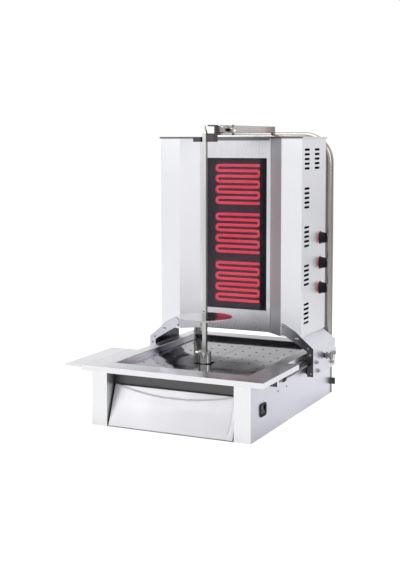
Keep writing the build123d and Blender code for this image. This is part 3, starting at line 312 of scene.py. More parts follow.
# %% Heat-tinted arm
def tinted(name, colour, joint_y, reach):
    f = Finish(name)
    axes = f.add("ShaderNodeSeparateXYZ")
    f.join(f.place(), axes.inputs["Vector"])
    wobble = f.ranged(f.noise(f.place(), 60.0, 3.0), -0.012, 0.012)
    away = f.maths("ABSOLUTE", f.maths("SUBTRACT", axes.outputs["Y"], joint_y), 0.0)
    ramp = f.add("ShaderNodeValToRGB")
    f.join(f.maths("DIVIDE", f.maths("ADD", away, wobble), reach), ramp.inputs["Fac"])
    stops = [
        (0.0, (0.22, 0.19, 0.18)),
        (0.18, (0.26, 0.26, 0.32)),
        (0.34, (0.36, 0.26, 0.22)),
        (0.55, (0.48, 0.41, 0.34)),
        (0.95, colour),
    ]
    while len(ramp.color_ramp.elements) < len(stops):
        ramp.color_ramp.elements.new(0.5)
    for element, (place, tone) in zip(ramp.color_ramp.elements, stops):
        element.position = place
        element.color = (*tone, 1)
    scratch = f.noise(f.place((800, 8, 800)), 1.0, 3.0)
    f.feed(Base_Color=ramp.outputs["Color"], Roughness=f.ranged(scratch, 0.2, 0.34))
    f.set(Metallic=1.0, Anisotropic=0.3)
    f.bump(scratch, 0.15, 0.0001, 0.0005)
    finishes[name] = f.material


tube_low, tube_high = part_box("support_tube")
tube_middle_y = (tube_low[1] + tube_high[1]) / 2
tinted("arm_steel", (0.56, 0.53, 0.52), tube_middle_y, 0.12)
print("arm tinted around y =", round(tube_middle_y, 3))

# %% [markdown]
# Paints, plastics and boards differ mostly in how fine their grain is and how dull they are.
# One recipe takes both as numbers: a speckle for the grain and a soft noise for handling.

# %% Painted, moulded and pressed finishes
def moulded(
    name, colour, rough, grain_size=0.0006, depth=0.00006, spread=0.12, metal=0.0, gloss=0.5
):
    f = Finish(name)
    grain = f.noise(f.place(), 1.0 / grain_size, 2.0)
    worn = f.noise(f.place(), 25.0, 4.0, 0.6)
    lifted = tuple(min(1.0, c * (1 + spread) + 0.006) for c in colour)
    f.feed(Base_Color=f.blend(f.ranged(worn, 0, 1), colour, lifted))
    f.feed(Roughness=f.ranged(worn, rough - 0.05, rough + 0.07))
    f.set(Metallic=metal, Specular_IOR_Level=gloss)
    f.bump(grain, 0.35, depth, 0.0004)
    finishes[name] = f.material
    return f.material


moulded("black_steel", (0.090, 0.082, 0.082), 0.38, 0.0008, metal=1.0)
moulded("black_plastic", (0.006, 0.006, 0.008), 0.36, gloss=0.12)
moulded("rocker_plastic", (0.012, 0.012, 0.014), 0.18, 0.002, 0.00002, gloss=0.3)
moulded("red_plastic", (0.62, 0.02, 0.025), 0.25, 0.001, 0.00002)
moulded("board_grey", (0.150, 0.135, 0.200), 0.85, 0.0012, 0.0002, 0.20)
moulded("strip_black", (0.002, 0.002, 0.003), 0.7, 0.001)
moulded("motor_paint", (0.10, 0.11, 0.12), 0.40, 0.0015, 0.0001)
moulded("gear_alloy", (0.60, 0.60, 0.61), 0.48, 0.0018, 0.0002, 0.08, 1.0)
print("moulded finishes added")

# %% [markdown]
# The ceramic glass is nearly black and smooth. It is see-through by its alpha, which renders
# fast and also survives in the exported model.

# %% Smoked ceramic glass
def smoked_glass(name):
    f = Finish(name)
    haze = f.noise(f.place(), 14.0, 4.0, 0.6)
    f.feed(Roughness=f.ranged(haze, 0.03, 0.10))
    f.feed(Base_Color=f.blend(f.ranged(haze, 0, 1), (0.016, 0.015, 0.022), (0.022, 0.020, 0.030)))
    f.set(Alpha=0.42, IOR=1.5)
    finishes[name] = f.material


smoked_glass("glass_dark")
print("glass added")

# %% [markdown]
# The heater bars glow red, never quite evenly, so a soft noise varies the colour a little
# along each bar.

# %% Glowing bars
def glowing(name):
    f = Finish(name)
    uneven = f.noise(f.place((12, 12, 30)), 1.0, 3.0)
    hot = f.blend(f.ranged(uneven, 0, 1), (1.0, 0.055, 0.11), (1.0, 0.10, 0.17))
    f.feed(Emission_Color=hot)
    f.set(Base_Color=(0.5, 0.04, 0.05, 1), Emission_Strength=1.7, Roughness=0.5)
    finishes[name] = f.material


glowing("element_glow")
print("glow added")

# %% [markdown]
# The record names a finish for each solid. A few solids that the photograph shows in their own
# tone get a closer finish, by name. For the heater pan and the guide rods that near-black tone is
# painted shade.

# %% Put each finish on its solid
slot_of = {part["node"]: part["material_slot"] for part in frame["record"]["subparts"]}
closer = {
    "top_frame": "rim_steel",
    "side_shelf": "shelf_steel",
    "tower_lid": "lid_steel",
    "centre_panel": "panel_steel",
    "tray_right": "tray_steel",
    "tray_left": "tray_steel",
    "tower_back": "back_steel",
    "base_back": "back_steel",
    "heater_pan": "pan_steel_in_painted_shade",
    "guide_rod_right": "chrome_in_painted_shade",
    "guide_rod_left": "chrome_in_painted_shade",
}


def dress(obj, material):
    obj.data.materials.clear()
    obj.data.materials.append(material)


for node_name, node in nodes.items():
    dress(node, finishes[closer.get(node_name, slot_of[node_name])])
print("dressed", len(nodes), "solids")

# %% [markdown]
# Small fasteners and rims come in rows, so they are grown, not placed one by one. A cloud of
# loose points says where each one sits and which way it faces. A Geometry Nodes tree puts
# the same little head on every point, makes the copies real and gives them their finish.

# %% A helper for growing pieces
def new_tree(name, sizes):
    """An empty tree with named size inputs; returns the tree, its input and its output."""
    tree = bpy.data.node_groups.new(name, "GeometryNodeTree")
    tree.interface.new_socket("Geometry", in_out="INPUT", socket_type="NodeSocketGeometry")
    for label, value in sizes.items():
        kind = "NodeSocketInt" if isinstance(value, int) else "NodeSocketFloat"
        socket = tree.interface.new_socket(label, in_out="INPUT", socket_type=kind)
        socket.default_value = value
    tree.interface.new_socket("Geometry", in_out="OUTPUT", socket_type="NodeSocketGeometry")
    return tree, tree.nodes.new("NodeGroupInput"), tree.nodes.new("NodeGroupOutput")


def put(tree, kind, inputs=None, **settings):
    """Adds a node; inputs maps a socket's name to a number or to another node's output."""
    node = tree.nodes.new(kind)
    for key, value in settings.items():
        setattr(node, key, value)
    for key, value in (inputs or {}).items():
        socket = node.inputs[key]
        if isinstance(value, bpy.types.NodeSocket):
            tree.links.new(value, socket)
        else:
            socket.default_value = value
    return node


def calc(tree, operation, first, second):
    return Graph(tree).maths(operation, first, second)


def product(tree, first, second):
    return calc(tree, "MULTIPLY", first, second)


print("tree helpers ready")

# %% [markdown]
# A tree runs as a modifier on a start mesh. The result is kept as a plain mesh that rides on
# a body of the grill, and the start mesh goes.

# %% Growing a piece
def grow(name, tree, start, sizes, body):
    """Runs a tree on a start mesh and keeps the result as a plain mesh that rides on body."""
    seed = bpy.data.objects.new(name + "_seed", start)
    bpy.context.collection.objects.link(seed)
    modifier = seed.modifiers.new("grow", "NODES")
    modifier.node_group = tree
    for item in tree.interface.items_tree:
        if item.in_out == "INPUT" and item.name in sizes:
            modifier[item.identifier] = sizes[item.name]
    ready = seed.evaluated_get(bpy.context.evaluated_depsgraph_get())
    mesh = bpy.data.meshes.new_from_object(ready)
    mesh.name = name
    piece = bpy.data.objects.new(name, mesh)
    bpy.context.collection.objects.link(piece)
    bpy.data.objects.remove(seed)
    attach(piece, body)
    print(name, "has", len(mesh.polygons), "faces")
    return piece


def points_mesh(name, spots):
    """A cloud of points, each with the direction that it faces."""
    mesh = bpy.data.meshes.new(name)
    mesh.from_pydata([place for place, facing in spots], [], [])
    facing = mesh.attributes.new("facing", "FLOAT_VECTOR", "POINT")
    for item, (place, direction) in zip(facing.data, spots):
        item.vector = direction
    return mesh


def spread(tree, head, group_in):
    """Instances head on the points, turned to face their way, and realizes the copies."""
    facing = put(
        tree, "GeometryNodeInputNamedAttribute", {"Name": "facing"}, data_type="FLOAT_VECTOR"
    )
    way = {"Vector": facing.outputs["Attribute"]}
    turn = put(tree, "FunctionNodeAlignRotationToVector", way, axis="Z")
    copies = put(
        tree,
        "GeometryNodeInstanceOnPoints",
        {
            "Points": group_in.outputs["Geometry"],
            "Instance": head,
            "Rotation": turn.outputs["Rotation"],
        },
    )
    real = put(tree, "GeometryNodeRealizeInstances", {"Geometry": copies.outputs["Instances"]})
    return real.outputs["Geometry"]


def coat(tree, geometry, material):
    dressed = put(tree, "GeometryNodeSetMaterial", {"Geometry": geometry, "Material": material})
    return dressed.outputs["Geometry"]


def finish_tree(tree, geometry, group_out, material, smooth=True):
    """Sets the shading and the finish of what was grown, and hands it out."""
    settings = {"Geometry": geometry, "Shade Smooth": smooth}
    shaded = put(tree, "GeometryNodeSetShadeSmooth", settings).outputs["Geometry"]
    tree.links.new(coat(tree, shaded, material), group_out.inputs["Geometry"])


print("growing tools ready")

# %% [markdown]
# A pan-head screw is a flat dome with a cross pressed into it. The tree stacks three rings of
# a cone for the dome. Two near-black crossed bars that sit a hair above it stand for the
# recess, as painted shade.

# %% Pan-head screws
def stack(tree, layers, sides):
    """Cones on top of each other: each layer is (low radius, high radius, start, depth)."""
    parts = []
    for low, high, start, depth in layers:
        sizes = {"Vertices": sides, "Radius Bottom": low, "Radius Top": high, "Depth": depth}
        cone = put(tree, "GeometryNodeMeshCone", sizes)
        parts.append(lifted(tree, cone, start))
    return parts


def lifted(tree, shape, height):
    move = put(tree, "GeometryNodeTransform", {"Geometry": shape.outputs["Mesh"]})
    up = put(tree, "ShaderNodeCombineXYZ", {"Z": height})
    tree.links.new(up.outputs["Vector"], move.inputs["Translation"])
    return move.outputs["Geometry"]


def joined(tree, parts):
    join = tree.nodes.new("GeometryNodeJoinGeometry")
    for part in parts:
        tree.links.new(part, join.inputs["Geometry"])
    return join.outputs["Geometry"]


def screw_tree(material, dark):
    tree, group_in, group_out = new_tree("pan_head_screw", {"Radius": 0.003, "Height": 0.0018})
    radius, height = group_in.outputs["Radius"], group_in.outputs["Height"]
    rim = product(tree, radius, 0.86)
    crown = product(tree, radius, 0.45)
    third = product(tree, height, 0.34)
    layers = [
        (radius, radius, 0.0, third),
        (radius, rim, third, third),
        (rim, crown, product(tree, height, 0.68), third),
    ]
    parts = [coat(tree, joined(tree, stack(tree, layers, 20)), material)]
    long_side = product(tree, radius, 1.05)
    short_side = product(tree, radius, 0.22)
    deep = product(tree, height, 0.12)
    # The crossed bars are near black: painted shade of the cross recess.
    for x, y in ((long_side, short_side), (short_side, long_side)):
        size = put(tree, "ShaderNodeCombineXYZ", {"X": x, "Y": y, "Z": deep})
        bar = put(tree, "GeometryNodeMeshCube", {"Size": size.outputs["Vector"]})
        parts.append(coat(tree, lifted(tree, bar, height), dark))
    head = joined(tree, parts)
    tree.links.new(spread(tree, head, group_in), group_out.inputs["Geometry"])
    return tree


screws = screw_tree(finishes["chrome_plate"], finishes["black_steel"])
print("screw tree has", len(screws.nodes), "nodes")

# %% [markdown]
# The screws sit where the sheets are fixed: on the brackets' front plates, along the base's
# sides and back, and round the tower's back. Their places are in metres, like the solids'.

# %% Screws in their places
FRONT, BACK, RIGHT, LEFT = (0, -1, 0), (0, 1, 0), (1, 0, 0), (-1, 0, 0)
SIDES = ((1, RIGHT), (-1, LEFT))
plate_screw = {"Radius": 0.0032, "Height": 0.0018}
sheet_screw = {"Radius": 0.003, "Height": 0.0018}

plate_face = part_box("bracket_right")[0][1]
plate_holes = ((0.173, 0.246), (0.173, 0.225), (0.253, 0.183), (0.2605, 0.165), (0.2635, 0.110))
plate_spots = [((side * x, plate_face, z), FRONT) for side, _ in SIDES for x, z in plate_holes]
grow("bracket_screws", screws, points_mesh("bracket_spots", plate_spots), plate_screw, "tower")

base_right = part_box("base_side_right")[1][0]
base_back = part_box("base_back")[1][1]
saddle_x, saddle_back = 0.226, base_back + 0.003
base_spots = [((side * base_right, y, 0.100), way) for side, way in SIDES for y in (-0.127, -0.060)]
base_spots += [
    ((x, base_back, z), BACK) for x in (-0.16, -0.05, 0.05, 0.19) for z in (0.018, 0.136)
]
base_spots += [
    ((side * (saddle_x + step), saddle_back, z), BACK)
    for side, _ in SIDES
    for step in (-0.025, 0.025)
    for z in (0.040, 0.120)
]
grow("base_screws", screws, points_mesh("base_spots", base_spots), sheet_screw, "base")

tower_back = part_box("tower_back")[1][1]
edge_heights = (0.235, 0.37, 0.505, 0.64, 0.785)
back_spots = [((x, tower_back, z), BACK) for x in (-0.218, 0.218) for z in edge_heights]
back_spots += [((x, tower_back, z), BACK) for x in (-0.075, 0.075) for z in (0.235, 0.785)]
grow("tower_screws", screws, points_mesh("back_spots", back_spots), sheet_screw, "tower")

# %% [markdown]
# Dome nuts hold the slide blocks: a six-sided foot, a thin flange and a round cap, plated
# bright. The same stack of cones draws the cap, with more layers because it is seen close.

# %% Dome nuts
def nut_tree(material):
    tree, group_in, group_out = new_tree("dome_nut", {"Radius": 0.006, "Height": 0.009})
    radius, height = group_in.outputs["Radius"], group_in.outputs["Height"]
    foot, cap, steps = 0.45, 0.84, 6
    parts = stack(tree, [(radius, radius, 0.0, product(tree, height, foot))], 6)
    layers = []
    for step in range(steps):
        low, high = pi / 2 * step / steps, pi / 2 * (step + 1) / steps
        layers.append(
            (
                product(tree, radius, cap * cos(low)),
                product(tree, radius, max(cap * cos(high), 0.01)),
                product(tree, height, foot + (1 - foot) * sin(low)),
                product(tree, height, (1 - foot) * (sin(high) - sin(low))),
            )
        )
    parts += stack(tree, layers, 24)
    flange = (product(tree, radius, 1.12), product(tree, radius, 1.08), 0.0, 0.0008)
    parts += stack(tree, [flange], 24)
    whole = {"Geometry": joined(tree, parts), "Distance": 0.00002}
    merged = put(tree, "GeometryNodeMergeByDistance", whole).outputs["Geometry"]
    finish_tree(tree, spread(tree, merged, group_in), group_out, material, False)
    return tree


def smooth_by_angle(piece, degrees=40.0):
    """Smooth shading that keeps edges sharper than the angle."""
    piece.data.shade_smooth()
    piece.data.set_sharp_from_angle(angle=radians(degrees))


bracket_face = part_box("bracket_left")[0][0]
nut_holes = ((0.104, 0.142), (0.118, 0.114), (0.266, 0.142), (0.246, 0.118))
nut_spots = [((side * abs(bracket_face), y, z), way) for side, way in SIDES for y, z in nut_holes]
nuts = grow(
    "bright_dome_nuts",
    nut_tree(finishes["chrome_plate"]),
    points_mesh("nut_spots", nut_spots),
    {"Radius": 0.0062, "Height": 0.009},
    "tower",
)
smooth_by_angle(nuts)
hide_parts("dome_nuts")

# %% [markdown]
# Each heater is one long metal-sheathed bar, bent to and fro. A line with two points for each
# row is folded into a zigzag by its index, the corners are rounded to U-bends and a circle
# is swept along it. The sizes are inputs, so the three zones share one tree.

# %% Heater coils
def coil_tree(material):
    sizes = {"Rows": 8, "Pitch": 0.0165, "Left": -0.07, "Right": 0.07, "Lead": 0.02,
             "Depth": 0.0, "Top": 0.0, "Radius": 0.0042}
    tree, group_in, group_out = new_tree("heater_coil", sizes)
    rows, pitch, left, right, lead, depth, top, radius = (group_in.outputs[key] for key in sizes)
    count = product(tree, rows, 2.0)
    line = put(tree, "GeometryNodeCurvePrimitiveLine").outputs["Curve"]
    cut = put(tree, "GeometryNodeResampleCurve", {"Curve": line, "Count": count})
    index = tree.nodes.new("GeometryNodeInputIndex").outputs["Index"]
    row = calc(tree, "FLOOR", calc(tree, "DIVIDE", index, 2.0), 0.0)
    after = calc(tree, "ADD", index, 1.0)
    half_turn = calc(tree, "FLOOR", calc(tree, "DIVIDE", after, 2.0), 0.0)
    on_left = calc(tree, "MODULO", half_turn, 2.0)
    width = calc(tree, "SUBTRACT", left, right)
    x = calc(tree, "ADD", right, product(tree, on_left, width))
    first = calc(tree, "LESS_THAN", index, 0.5)
    last = calc(tree, "GREATER_THAN", index, calc(tree, "SUBTRACT", count, 1.5))
    ends = calc(tree, "ADD", first, last)
    x = calc(tree, "ADD", x, product(tree, ends, lead))
    z = calc(tree, "SUBTRACT", top, product(tree, row, pitch))
    place = put(tree, "ShaderNodeCombineXYZ", {"X": x, "Y": depth, "Z": z})
    spots = {"Geometry": cut.outputs["Curve"], "Position": place.outputs["Vector"]}
    moved = put(tree, "GeometryNodeSetPosition", spots).outputs["Geometry"]
    corners = {"Curve": moved, "Radius": product(tree, pitch, 0.499), "Count": 7}
    bend = put(tree, "GeometryNodeFilletCurve", corners, mode="POLY").outputs["Curve"]
    circle = {"Resolution": 14, "Radius": radius}
    ring = put(tree, "GeometryNodeCurvePrimitiveCircle", circle).outputs["Curve"]
    swept = {"Curve": bend, "Profile Curve": ring, "Fill Caps": True}
    tube = put(tree, "GeometryNodeCurveToMesh", swept).outputs["Mesh"]
    finish_tree(tree, tube, group_out, material)
    return tree


coils = coil_tree(finishes["element_glow"])
coil_rows = 8
for zone in (1, 2, 3):
    low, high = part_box(f"heater_zone_{zone}")
    radius = (high[1] - low[1]) / 2
    left = low[0] + radius
    sizes = {
        "Rows": coil_rows,
        "Pitch": (high[2] - low[2] - 2 * radius) / (coil_rows - 1),
        "Left": left,
        "Right": -left,
        "Lead": high[0] + left,
        "Depth": (low[1] + high[1]) / 2,
        "Top": high[2] - radius,
        "Radius": radius,
    }
    coil = grow(f"heater_coil_{zone}", coils, bpy.data.meshes.new("empty"), sizes, "tower")
    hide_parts(f"heater_zone_{zone}")

# %% [markdown]
# Turned parts, such as knobs, come from a profile spun round an axis. Flutes and knurls are
# the same profile with its radius waved as it goes round.

# %% A lathe
def keep(name, shape):
    """Makes an object of a bmesh, and frees the bmesh."""
    mesh = bpy.data.meshes.new(name)
    shape.to_mesh(mesh)
    shape.free()
    piece = bpy.data.objects.new(name, mesh)
    bpy.context.collection.objects.link(piece)
    return piece


def lathe(name, profile, centre, axis, steps, body, material, flutes=0):
    """profile is a list of (radius, height, wave); axis is the direction of height."""
    shape = bmesh.new()
    rings = []
    for radius, height, wave in profile:
        ring = []
        for step in range(steps):
            angle = tau * step / steps
            r = radius * (1 + wave * cos(flutes * angle)) if flutes else radius
            ring.append(shape.verts.new((r * cos(angle), r * sin(angle), height)))
        rings.append(ring)
    for lower, upper in zip(rings, rings[1:]):
        for step in range(steps):
            after = (step + 1) % steps
            shape.faces.new((lower[step], lower[after], upper[after], upper[step]))
    shape.faces.new(rings[0][::-1])
    shape.faces.new(rings[-1])
    bmesh.ops.recalc_face_normals(shape, faces=shape.faces)
    turn = Vector((0, 0, 1)).rotation_difference(Vector(axis)).to_matrix().to_4x4()
    shape.transform(Matrix.Translation(centre) @ turn)
    piece = keep(name, shape)
    dress(piece, material)
    smooth_by_angle(piece, 35.0)
    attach(piece, body)
    print(name, "has", len(piece.data.polygons), "faces")
    return piece


print("lathe ready")

# %% [markdown]
# Bars and marks are blocks with rounded edges. A cube is scaled to its corners and bevelled.

# %% Rounded blocks
def block(name, low, high, bevel, material, body):
    """A box from corner low to corner high, with its edges rounded by bevel."""
    shape = bmesh.new()
    made = bmesh.ops.create_cube(shape, size=1.0)["verts"]
    size = [b - a for a, b in zip(low, high)]
    middle = [(a + b) / 2 for a, b in zip(low, high)]
    bmesh.ops.scale(shape, verts=made, vec=size)
    bmesh.ops.translate(shape, verts=made, vec=middle)
    edges = list({e for v in made for e in v.link_edges})
    bmesh.ops.bevel(shape, geom=edges, offset=bevel, segments=3, affect="EDGES", profile=0.5)
    piece = keep(name, shape)
    dress(piece, material)
    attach(piece, body)
    return piece


print("blocks ready")

# %% [markdown]
# The heat knobs have a fluted skirt, a raised grip bar across the face and a white pointer.
# The skirt is turned on the lathe; the bar and the pointer are rounded blocks.

# %% Heat knobs
white_mark = moulded("pointer_white", (0.80, 0.80, 0.78), 0.4, 0.0008, 0.00002)
knob_bodies = {1: "upper_heat_knob", 2: "middle_heat_knob", 3: "lower_heat_knob"}
for number, body in knob_bodies.items():
    low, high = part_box(f"heat_knob_{number}")
    middle = Vector((0, (low[1] + high[1]) / 2, (low[2] + high[2]) / 2))
    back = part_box("knob_rings")[1][0] + 0.0003
    length = high[0] - back
    radius = (high[2] - low[2]) / 2
    profile = [
        (radius * 0.93, 0.0, 0.0),
        (radius * 0.99, 0.0008, 0.0),
        (radius * 0.99, 0.0040, 0.0),
        (radius * 0.93, 0.0052, 0.0),
        (radius * 0.90, 0.0062, 0.020),
        (radius * 0.86, length * 0.62, 0.030),
        (radius * 0.84, length * 0.70, 0.018),
        (radius * 0.79, length * 0.745, 0.0),
        (radius * 0.72, length * 0.76, 0.0),
        (radius * 0.20, length * 0.765, 0.0),
    ]
    black = finishes["black_plastic"]
    centre = Vector((back, middle.y, middle.z))
    skirt = lathe(f"knob_skirt_{number}", profile, centre, RIGHT, 144, body, black, 18)
    bar_low = (back + 0.004, middle.y - 0.0042, middle.z - radius * 0.80)
    bar_high = (high[0], middle.y + 0.0042, middle.z + radius * 0.80)
    bar = block(f"knob_bar_{number}", bar_low, bar_high, 0.0012, black, body)
    smooth_by_angle(bar)
    mark_low = (high[0] - 0.0006, middle.y - 0.0007, middle.z + radius * 0.20)
    mark_high = (high[0] + 0.00015, middle.y + 0.0007, middle.z + radius * 0.76)
    block(f"knob_pointer_{number}", mark_low, mark_high, 0.0002, white_mark, body)
    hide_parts(f"heat_knob_{number}")

# %% [markdown]
# The clamp knob is a turned spool of steel whose outer rim is knurled for a grip. It screws
# through the boss of the bracket and presses on the base.

# %% Clamp knob
low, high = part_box("clamp_knob")
middle = Vector((low[0], (low[1] + high[1]) / 2, (low[2] + high[2]) / 2))
length = high[0] - low[0]
spool = 0.018
start = length - spool
spool_profile = [
    (0.0030, 0.0, 0.0),
    (0.0030, start - 0.0001, 0.0),
    (0.0100, start, 0.0),
    (0.0108, start + 0.0008, 0.0),
    (0.0108, start + 0.0030, 0.0),
    (0.0085, start + 0.0042, 0.0),
    (0.0066, start + 0.0070, 0.0),
    (0.0070, start + 0.0095, 0.0),
    (0.0096, start + 0.0115, 0.0),
    (0.0114, start + 0.0122, 0.030),
    (0.0116, start + 0.0172, 0.030),
    (0.0108, start + spool, 0.0),
    (0.0060, start + spool, 0.0),
    (0.0054, start + spool - 0.0006, 0.0),
]
turned = finishes["turned_steel"]
clamp = lathe(
    "knurled_clamp_knob", spool_profile, middle, RIGHT, 120, "carriage_clamp", turned, 30
)
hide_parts("clamp_knob")

# %% [markdown]
# The drawer's front is one sheet. A press pushed the top of it out in a wide smile, so that
# fingers can get behind it, and left a shallow line near its right end. A fine grid follows
# the folded profile, a formula moves its points out, and Solidify gives it the sheet's wall.

# %% Drawer profile
low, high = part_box("drawer_front")
grip = 0.0025
lean = 0.042
fold_depth = 0.050
rear_lip = 0.028
half = (high[0] - low[0]) / 2
fold_front = high[1] - fold_depth
fold_back = fold_front + fold_depth
top, bottom = 0.112, low[2]
outline = [
    (fold_back, bottom + rear_lip),
    (fold_back, bottom),
    (fold_front, bottom),
    (fold_front + lean, top),
    (fold_front + lean + 0.005, top),
]
across, along = 150, 60
steps = [2, 3, along, 1]
rail = []
for (start_y, start_z), (end_y, end_z), parts in zip(outline, outline[1:], steps):
    for part in range(parts):
        t = part / parts
        y, z = start_y + t * (end_y - start_y), start_z + t * (end_z - start_z)
        rail.append((y, z, parts == along and part > 0))
rail.append((*outline[-1], False))
slope = Vector((0, lean, top - bottom)).normalized()
outward = Vector((0, -slope.z, slope.y))
print("drawer profile has", len(rail), "rows")


# %% Drawer press marks
def ease(value):
    """0 below 0, 1 above 1 and a smooth step between."""
    value = min(max(value, 0.0), 1.0)
    return value * value * (3 - 2 * value)


def pressed(x, down):
    """How far the press moved the sheet at x, down metres below the top edge."""
    smile_left, smile_right = -half + 0.008, half - 0.003
    t = (x - smile_left) / (smile_right - smile_left)
    sag = 0.024 * 4 * t * (1 - t) if 0 < t < 1 else 0.0
    out = grip * 0.92 * ease((sag - down) / 0.0035 + 0.5) if sag > 0 else 0.0
    out *= ease(t / 0.04) * ease((1 - t) / 0.03)
    groove_x = half - 0.011 - 0.006 * ease((down - 0.070) / 0.045) ** 2
    near = abs(x - groove_x) / 0.0016
    if near < 1 and 0.010 < down < 0.104:
        out -= 0.0007 * (1 - near * near)
    return out


print("press reaches", round(pressed(0.0, 0.0) * 1000, 2), "mm")

# %% Drawer front
shape = bmesh.new()
rows = []
for y, z, free in rail:
    row = []
    for step in range(across + 1):
        x = -half + 2 * half * step / across
        point = Vector((x, y, z))
        if free:
            point += outward * pressed(x, (top - z) / slope.z)
        row.append(shape.verts.new(point))
    rows.append(row)
for lower, upper in zip(rows, rows[1:]):
    for step in range(across):
        shape.faces.new((lower[step], upper[step], upper[step + 1], lower[step + 1]))
first_row = steps[0] + steps[1]
for side in (-1, 1):
    edge = 0 if side < 0 else across
    sloping = rows[first_row:first_row + along + 1]
    loop = [shape.verts.new(row[edge].co.copy()) for row in sloping]
    tail = [(side * half, fold_back, top - 0.006), (side * half, fold_back, bottom)]
    face = loop + [shape.verts.new(co) for co in tail]
    shape.faces.new(face if side > 0 else face[::-1])
bmesh.ops.remove_doubles(shape, verts=shape.verts, dist=0.00001)
bmesh.ops.recalc_face_normals(shape, faces=shape.faces)
skin = keep("drawer_skin", shape)
wall = skin.modifiers.new("wall", "SOLIDIFY")
wall.thickness = 0.0012
wall.offset = -1.0
ready = skin.evaluated_get(bpy.context.evaluated_depsgraph_get())
drawer = bpy.data.objects.new("drawer_pressed_front", bpy.data.meshes.new_from_object(ready))
bpy.context.collection.objects.link(drawer)
bpy.data.objects.remove(skin)
dress(drawer, finishes["drawer_steel"])
smooth_by_angle(drawer, 25.0)
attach(drawer, "drawer")
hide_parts("drawer_front")
print("drawer front has", len(drawer.data.polygons), "faces")

# %% [markdown]
# Punching the trays leaves a small dished rim around each drain hole. A dark ring that is
# swept from a tiny circle sits on every hole of both trays. Its near-black colour is painted
# shade of the hole, so the holes read from afar.

# %% Rims of the tray holes
def rim_tree(material):
    tree, group_in, group_out = new_tree("hole_rim_painted_shade", {"Radius": 0.0026, "Wire": 0.00045})
    circles = []
    for key, sides in (("Radius", 16), ("Wire", 6)):
        sizes = {"Resolution": sides, "Radius": group_in.outputs[key]}
        circles.append(put(tree, "GeometryNodeCurvePrimitiveCircle", sizes).outputs["Curve"])
    path, wire = circles
    ring = put(tree, "GeometryNodeCurveToMesh", {"Curve": path, "Profile Curve": wire})
    finish_tree(tree, spread(tree, ring.outputs["Mesh"], group_in), group_out, material)
    return tree


# The rings are near black as painted shade of the holes.
rims_in_painted_shade = rim_tree(finishes["black_steel"])
rim_sizes = {"Radius": 0.0027, "Wire": 0.0007}
columns, rows_of_holes = 4, 9
column_pitch, row_pitch = 0.045, 0.055
first_column = 0.66 * column_pitch
well_low, well_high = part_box("tray_right")
tray_top = well_high[2]
well_middle = (well_low[1] + well_high[1]) / 2
for side, word in ((1, "right"), (-1, "left")):
    spots = []
    for column in range(columns):
        x = side * (first_column + column * column_pitch)
        for row in range(rows_of_holes):
            y = well_middle + (row - rows_of_holes // 2) * row_pitch
            spots.append(((x, y, tray_top), (0, 0, 1)))
    name = f"tray_rims_{word}"
    grow(name, rims_in_painted_shade, points_mesh(name + "_spots", spots), rim_sizes, f"tray_{word}_half")

# %% [markdown]
# The photograph was taken from the right of the grill, from a little below the top of its
# tower, with a fairly long lens. The camera's place comes from fitting the edges of the base,
# rim and tower. A small shift moves the frame without tilting the upright lines.

# %% Camera
camera = bpy.data.cameras.new("camera")
camera.lens = 68.9
camera.sensor_width = 36.0
camera.shift_y = -0.1196
camera.clip_end = 50.0
camera_object = bpy.data.objects.new("camera", camera)
camera_object.location = (1.3192, -2.9171, 0.7937)
camera_object.rotation_euler = (radians(86.0), 0.0, radians(25.29))
bpy.context.collection.objects.link(camera_object)
bpy.context.scene.camera = camera_object
bpy.context.scene.view_settings.view_transform = "Standard"
print("camera has a", camera.lens, "mm lens")

# %% [markdown]
# A packshot stands on white paper under large soft lamps. The world is white for the camera.
# What steel reflects of it is nearly white too, with darker bands far to the left and right
# and a faint one at the back, and it sheds a gentler light, so steel stays readable.

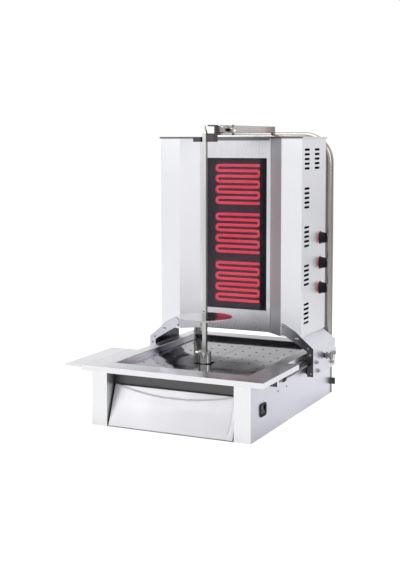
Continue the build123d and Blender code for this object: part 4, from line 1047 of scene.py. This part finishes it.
# %% White room
world = bpy.data.worlds.new("studio")
bpy.context.scene.world = world
world.use_nodes = True
room = Graph(world.node_tree)
background = room.tree.nodes["Background"]
direction = room.add("ShaderNodeTexCoord")
split = room.add("ShaderNodeSeparateXYZ")
room.join(direction.outputs["Generated"], split.inputs["Vector"])
rightward, backward = split.outputs["X"], split.outputs["Y"]
leftward = room.maths("MULTIPLY", rightward, -1.0)
dark_left = room.ranged(leftward, 0.0, 0.72, 0.80, 0.93, "SMOOTHSTEP")
dark_right = room.ranged(rightward, 0.0, 0.62, 0.86, 0.95, "SMOOTHSTEP")
grey_back = room.ranged(backward, 0.0, 0.10, 0.55, 0.95, "SMOOTHSTEP")
shade = room.maths("ADD", room.maths("ADD", dark_left, dark_right), grey_back)
mirror_light = room.maths("SUBTRACT", 0.95, shade)
seen = room.add("ShaderNodeLightPath")
white = room.maths("MAXIMUM", seen.outputs["Is Camera Ray"], seen.outputs["Is Transmission Ray"])
glossy = seen.outputs["Is Glossy Ray"]
plain = room.maths("MULTIPLY", room.maths("SUBTRACT", 1.0, glossy), 0.62)
light = room.maths("ADD", plain, room.maths("MULTIPLY", glossy, mirror_light))
room.join(room.maths("MAXIMUM", light, white), background.inputs["Strength"])
background.inputs["Color"].default_value = (1, 1, 1, 1)
print("room has", len(room.tree.nodes), "nodes")

# %% [markdown]
# The floor is a sheet of white paper just under the feet. A little glow that only the camera
# sees lifts it to the white of the page, and the grill's shadow stays on it.

# %% Paper floor
bpy.ops.mesh.primitive_plane_add(size=30.0, location=(0, 0, -0.0005))
floor = bpy.context.object
floor.name = "floor"
paper = Finish("paper")
fibres = paper.noise(paper.place(), 3.0)
paper.feed(Base_Color=paper.blend(fibres, (0.90, 0.90, 0.90), (0.92, 0.92, 0.92)))
eye = paper.add("ShaderNodeLightPath")
paper.feed(Emission_Strength=paper.maths("MULTIPLY", eye.outputs["Is Camera Ray"], 0.42))
paper.set(Roughness=0.95, Emission_Color=(1, 1, 1, 1))
dress(floor, paper.material)
print("floor laid")

# %% [markdown]
# Three large area lamps stand to the left, to the right and above. Being large, they give
# soft shadows and broad highlights, as the boxes in a product studio do.

# %% Soft lamps
def lamp(name, place, target, size, power):
    light = bpy.data.lights.new(name, "AREA")
    light.shape = "RECTANGLE"
    light.size, light.size_y = size
    light.energy = power
    holder = bpy.data.objects.new(name, light)
    holder.location = place
    direction = Vector(target) - Vector(place)
    holder.rotation_euler = direction.to_track_quat("-Z", "Y").to_euler()
    bpy.context.collection.objects.link(holder)


lamp("key", (-2.2, -2.6, 2.4), (0, 0, 0.4), (1.8, 1.8), 42)
lamp("side", (2.8, -0.6, 1.6), (0, 0, 0.4), (1.2, 2.2), 20)
lamp("top", (0, 0.2, 3.0), (0, 0, 0), (2.0, 2.0), 30)
print("studio ready")
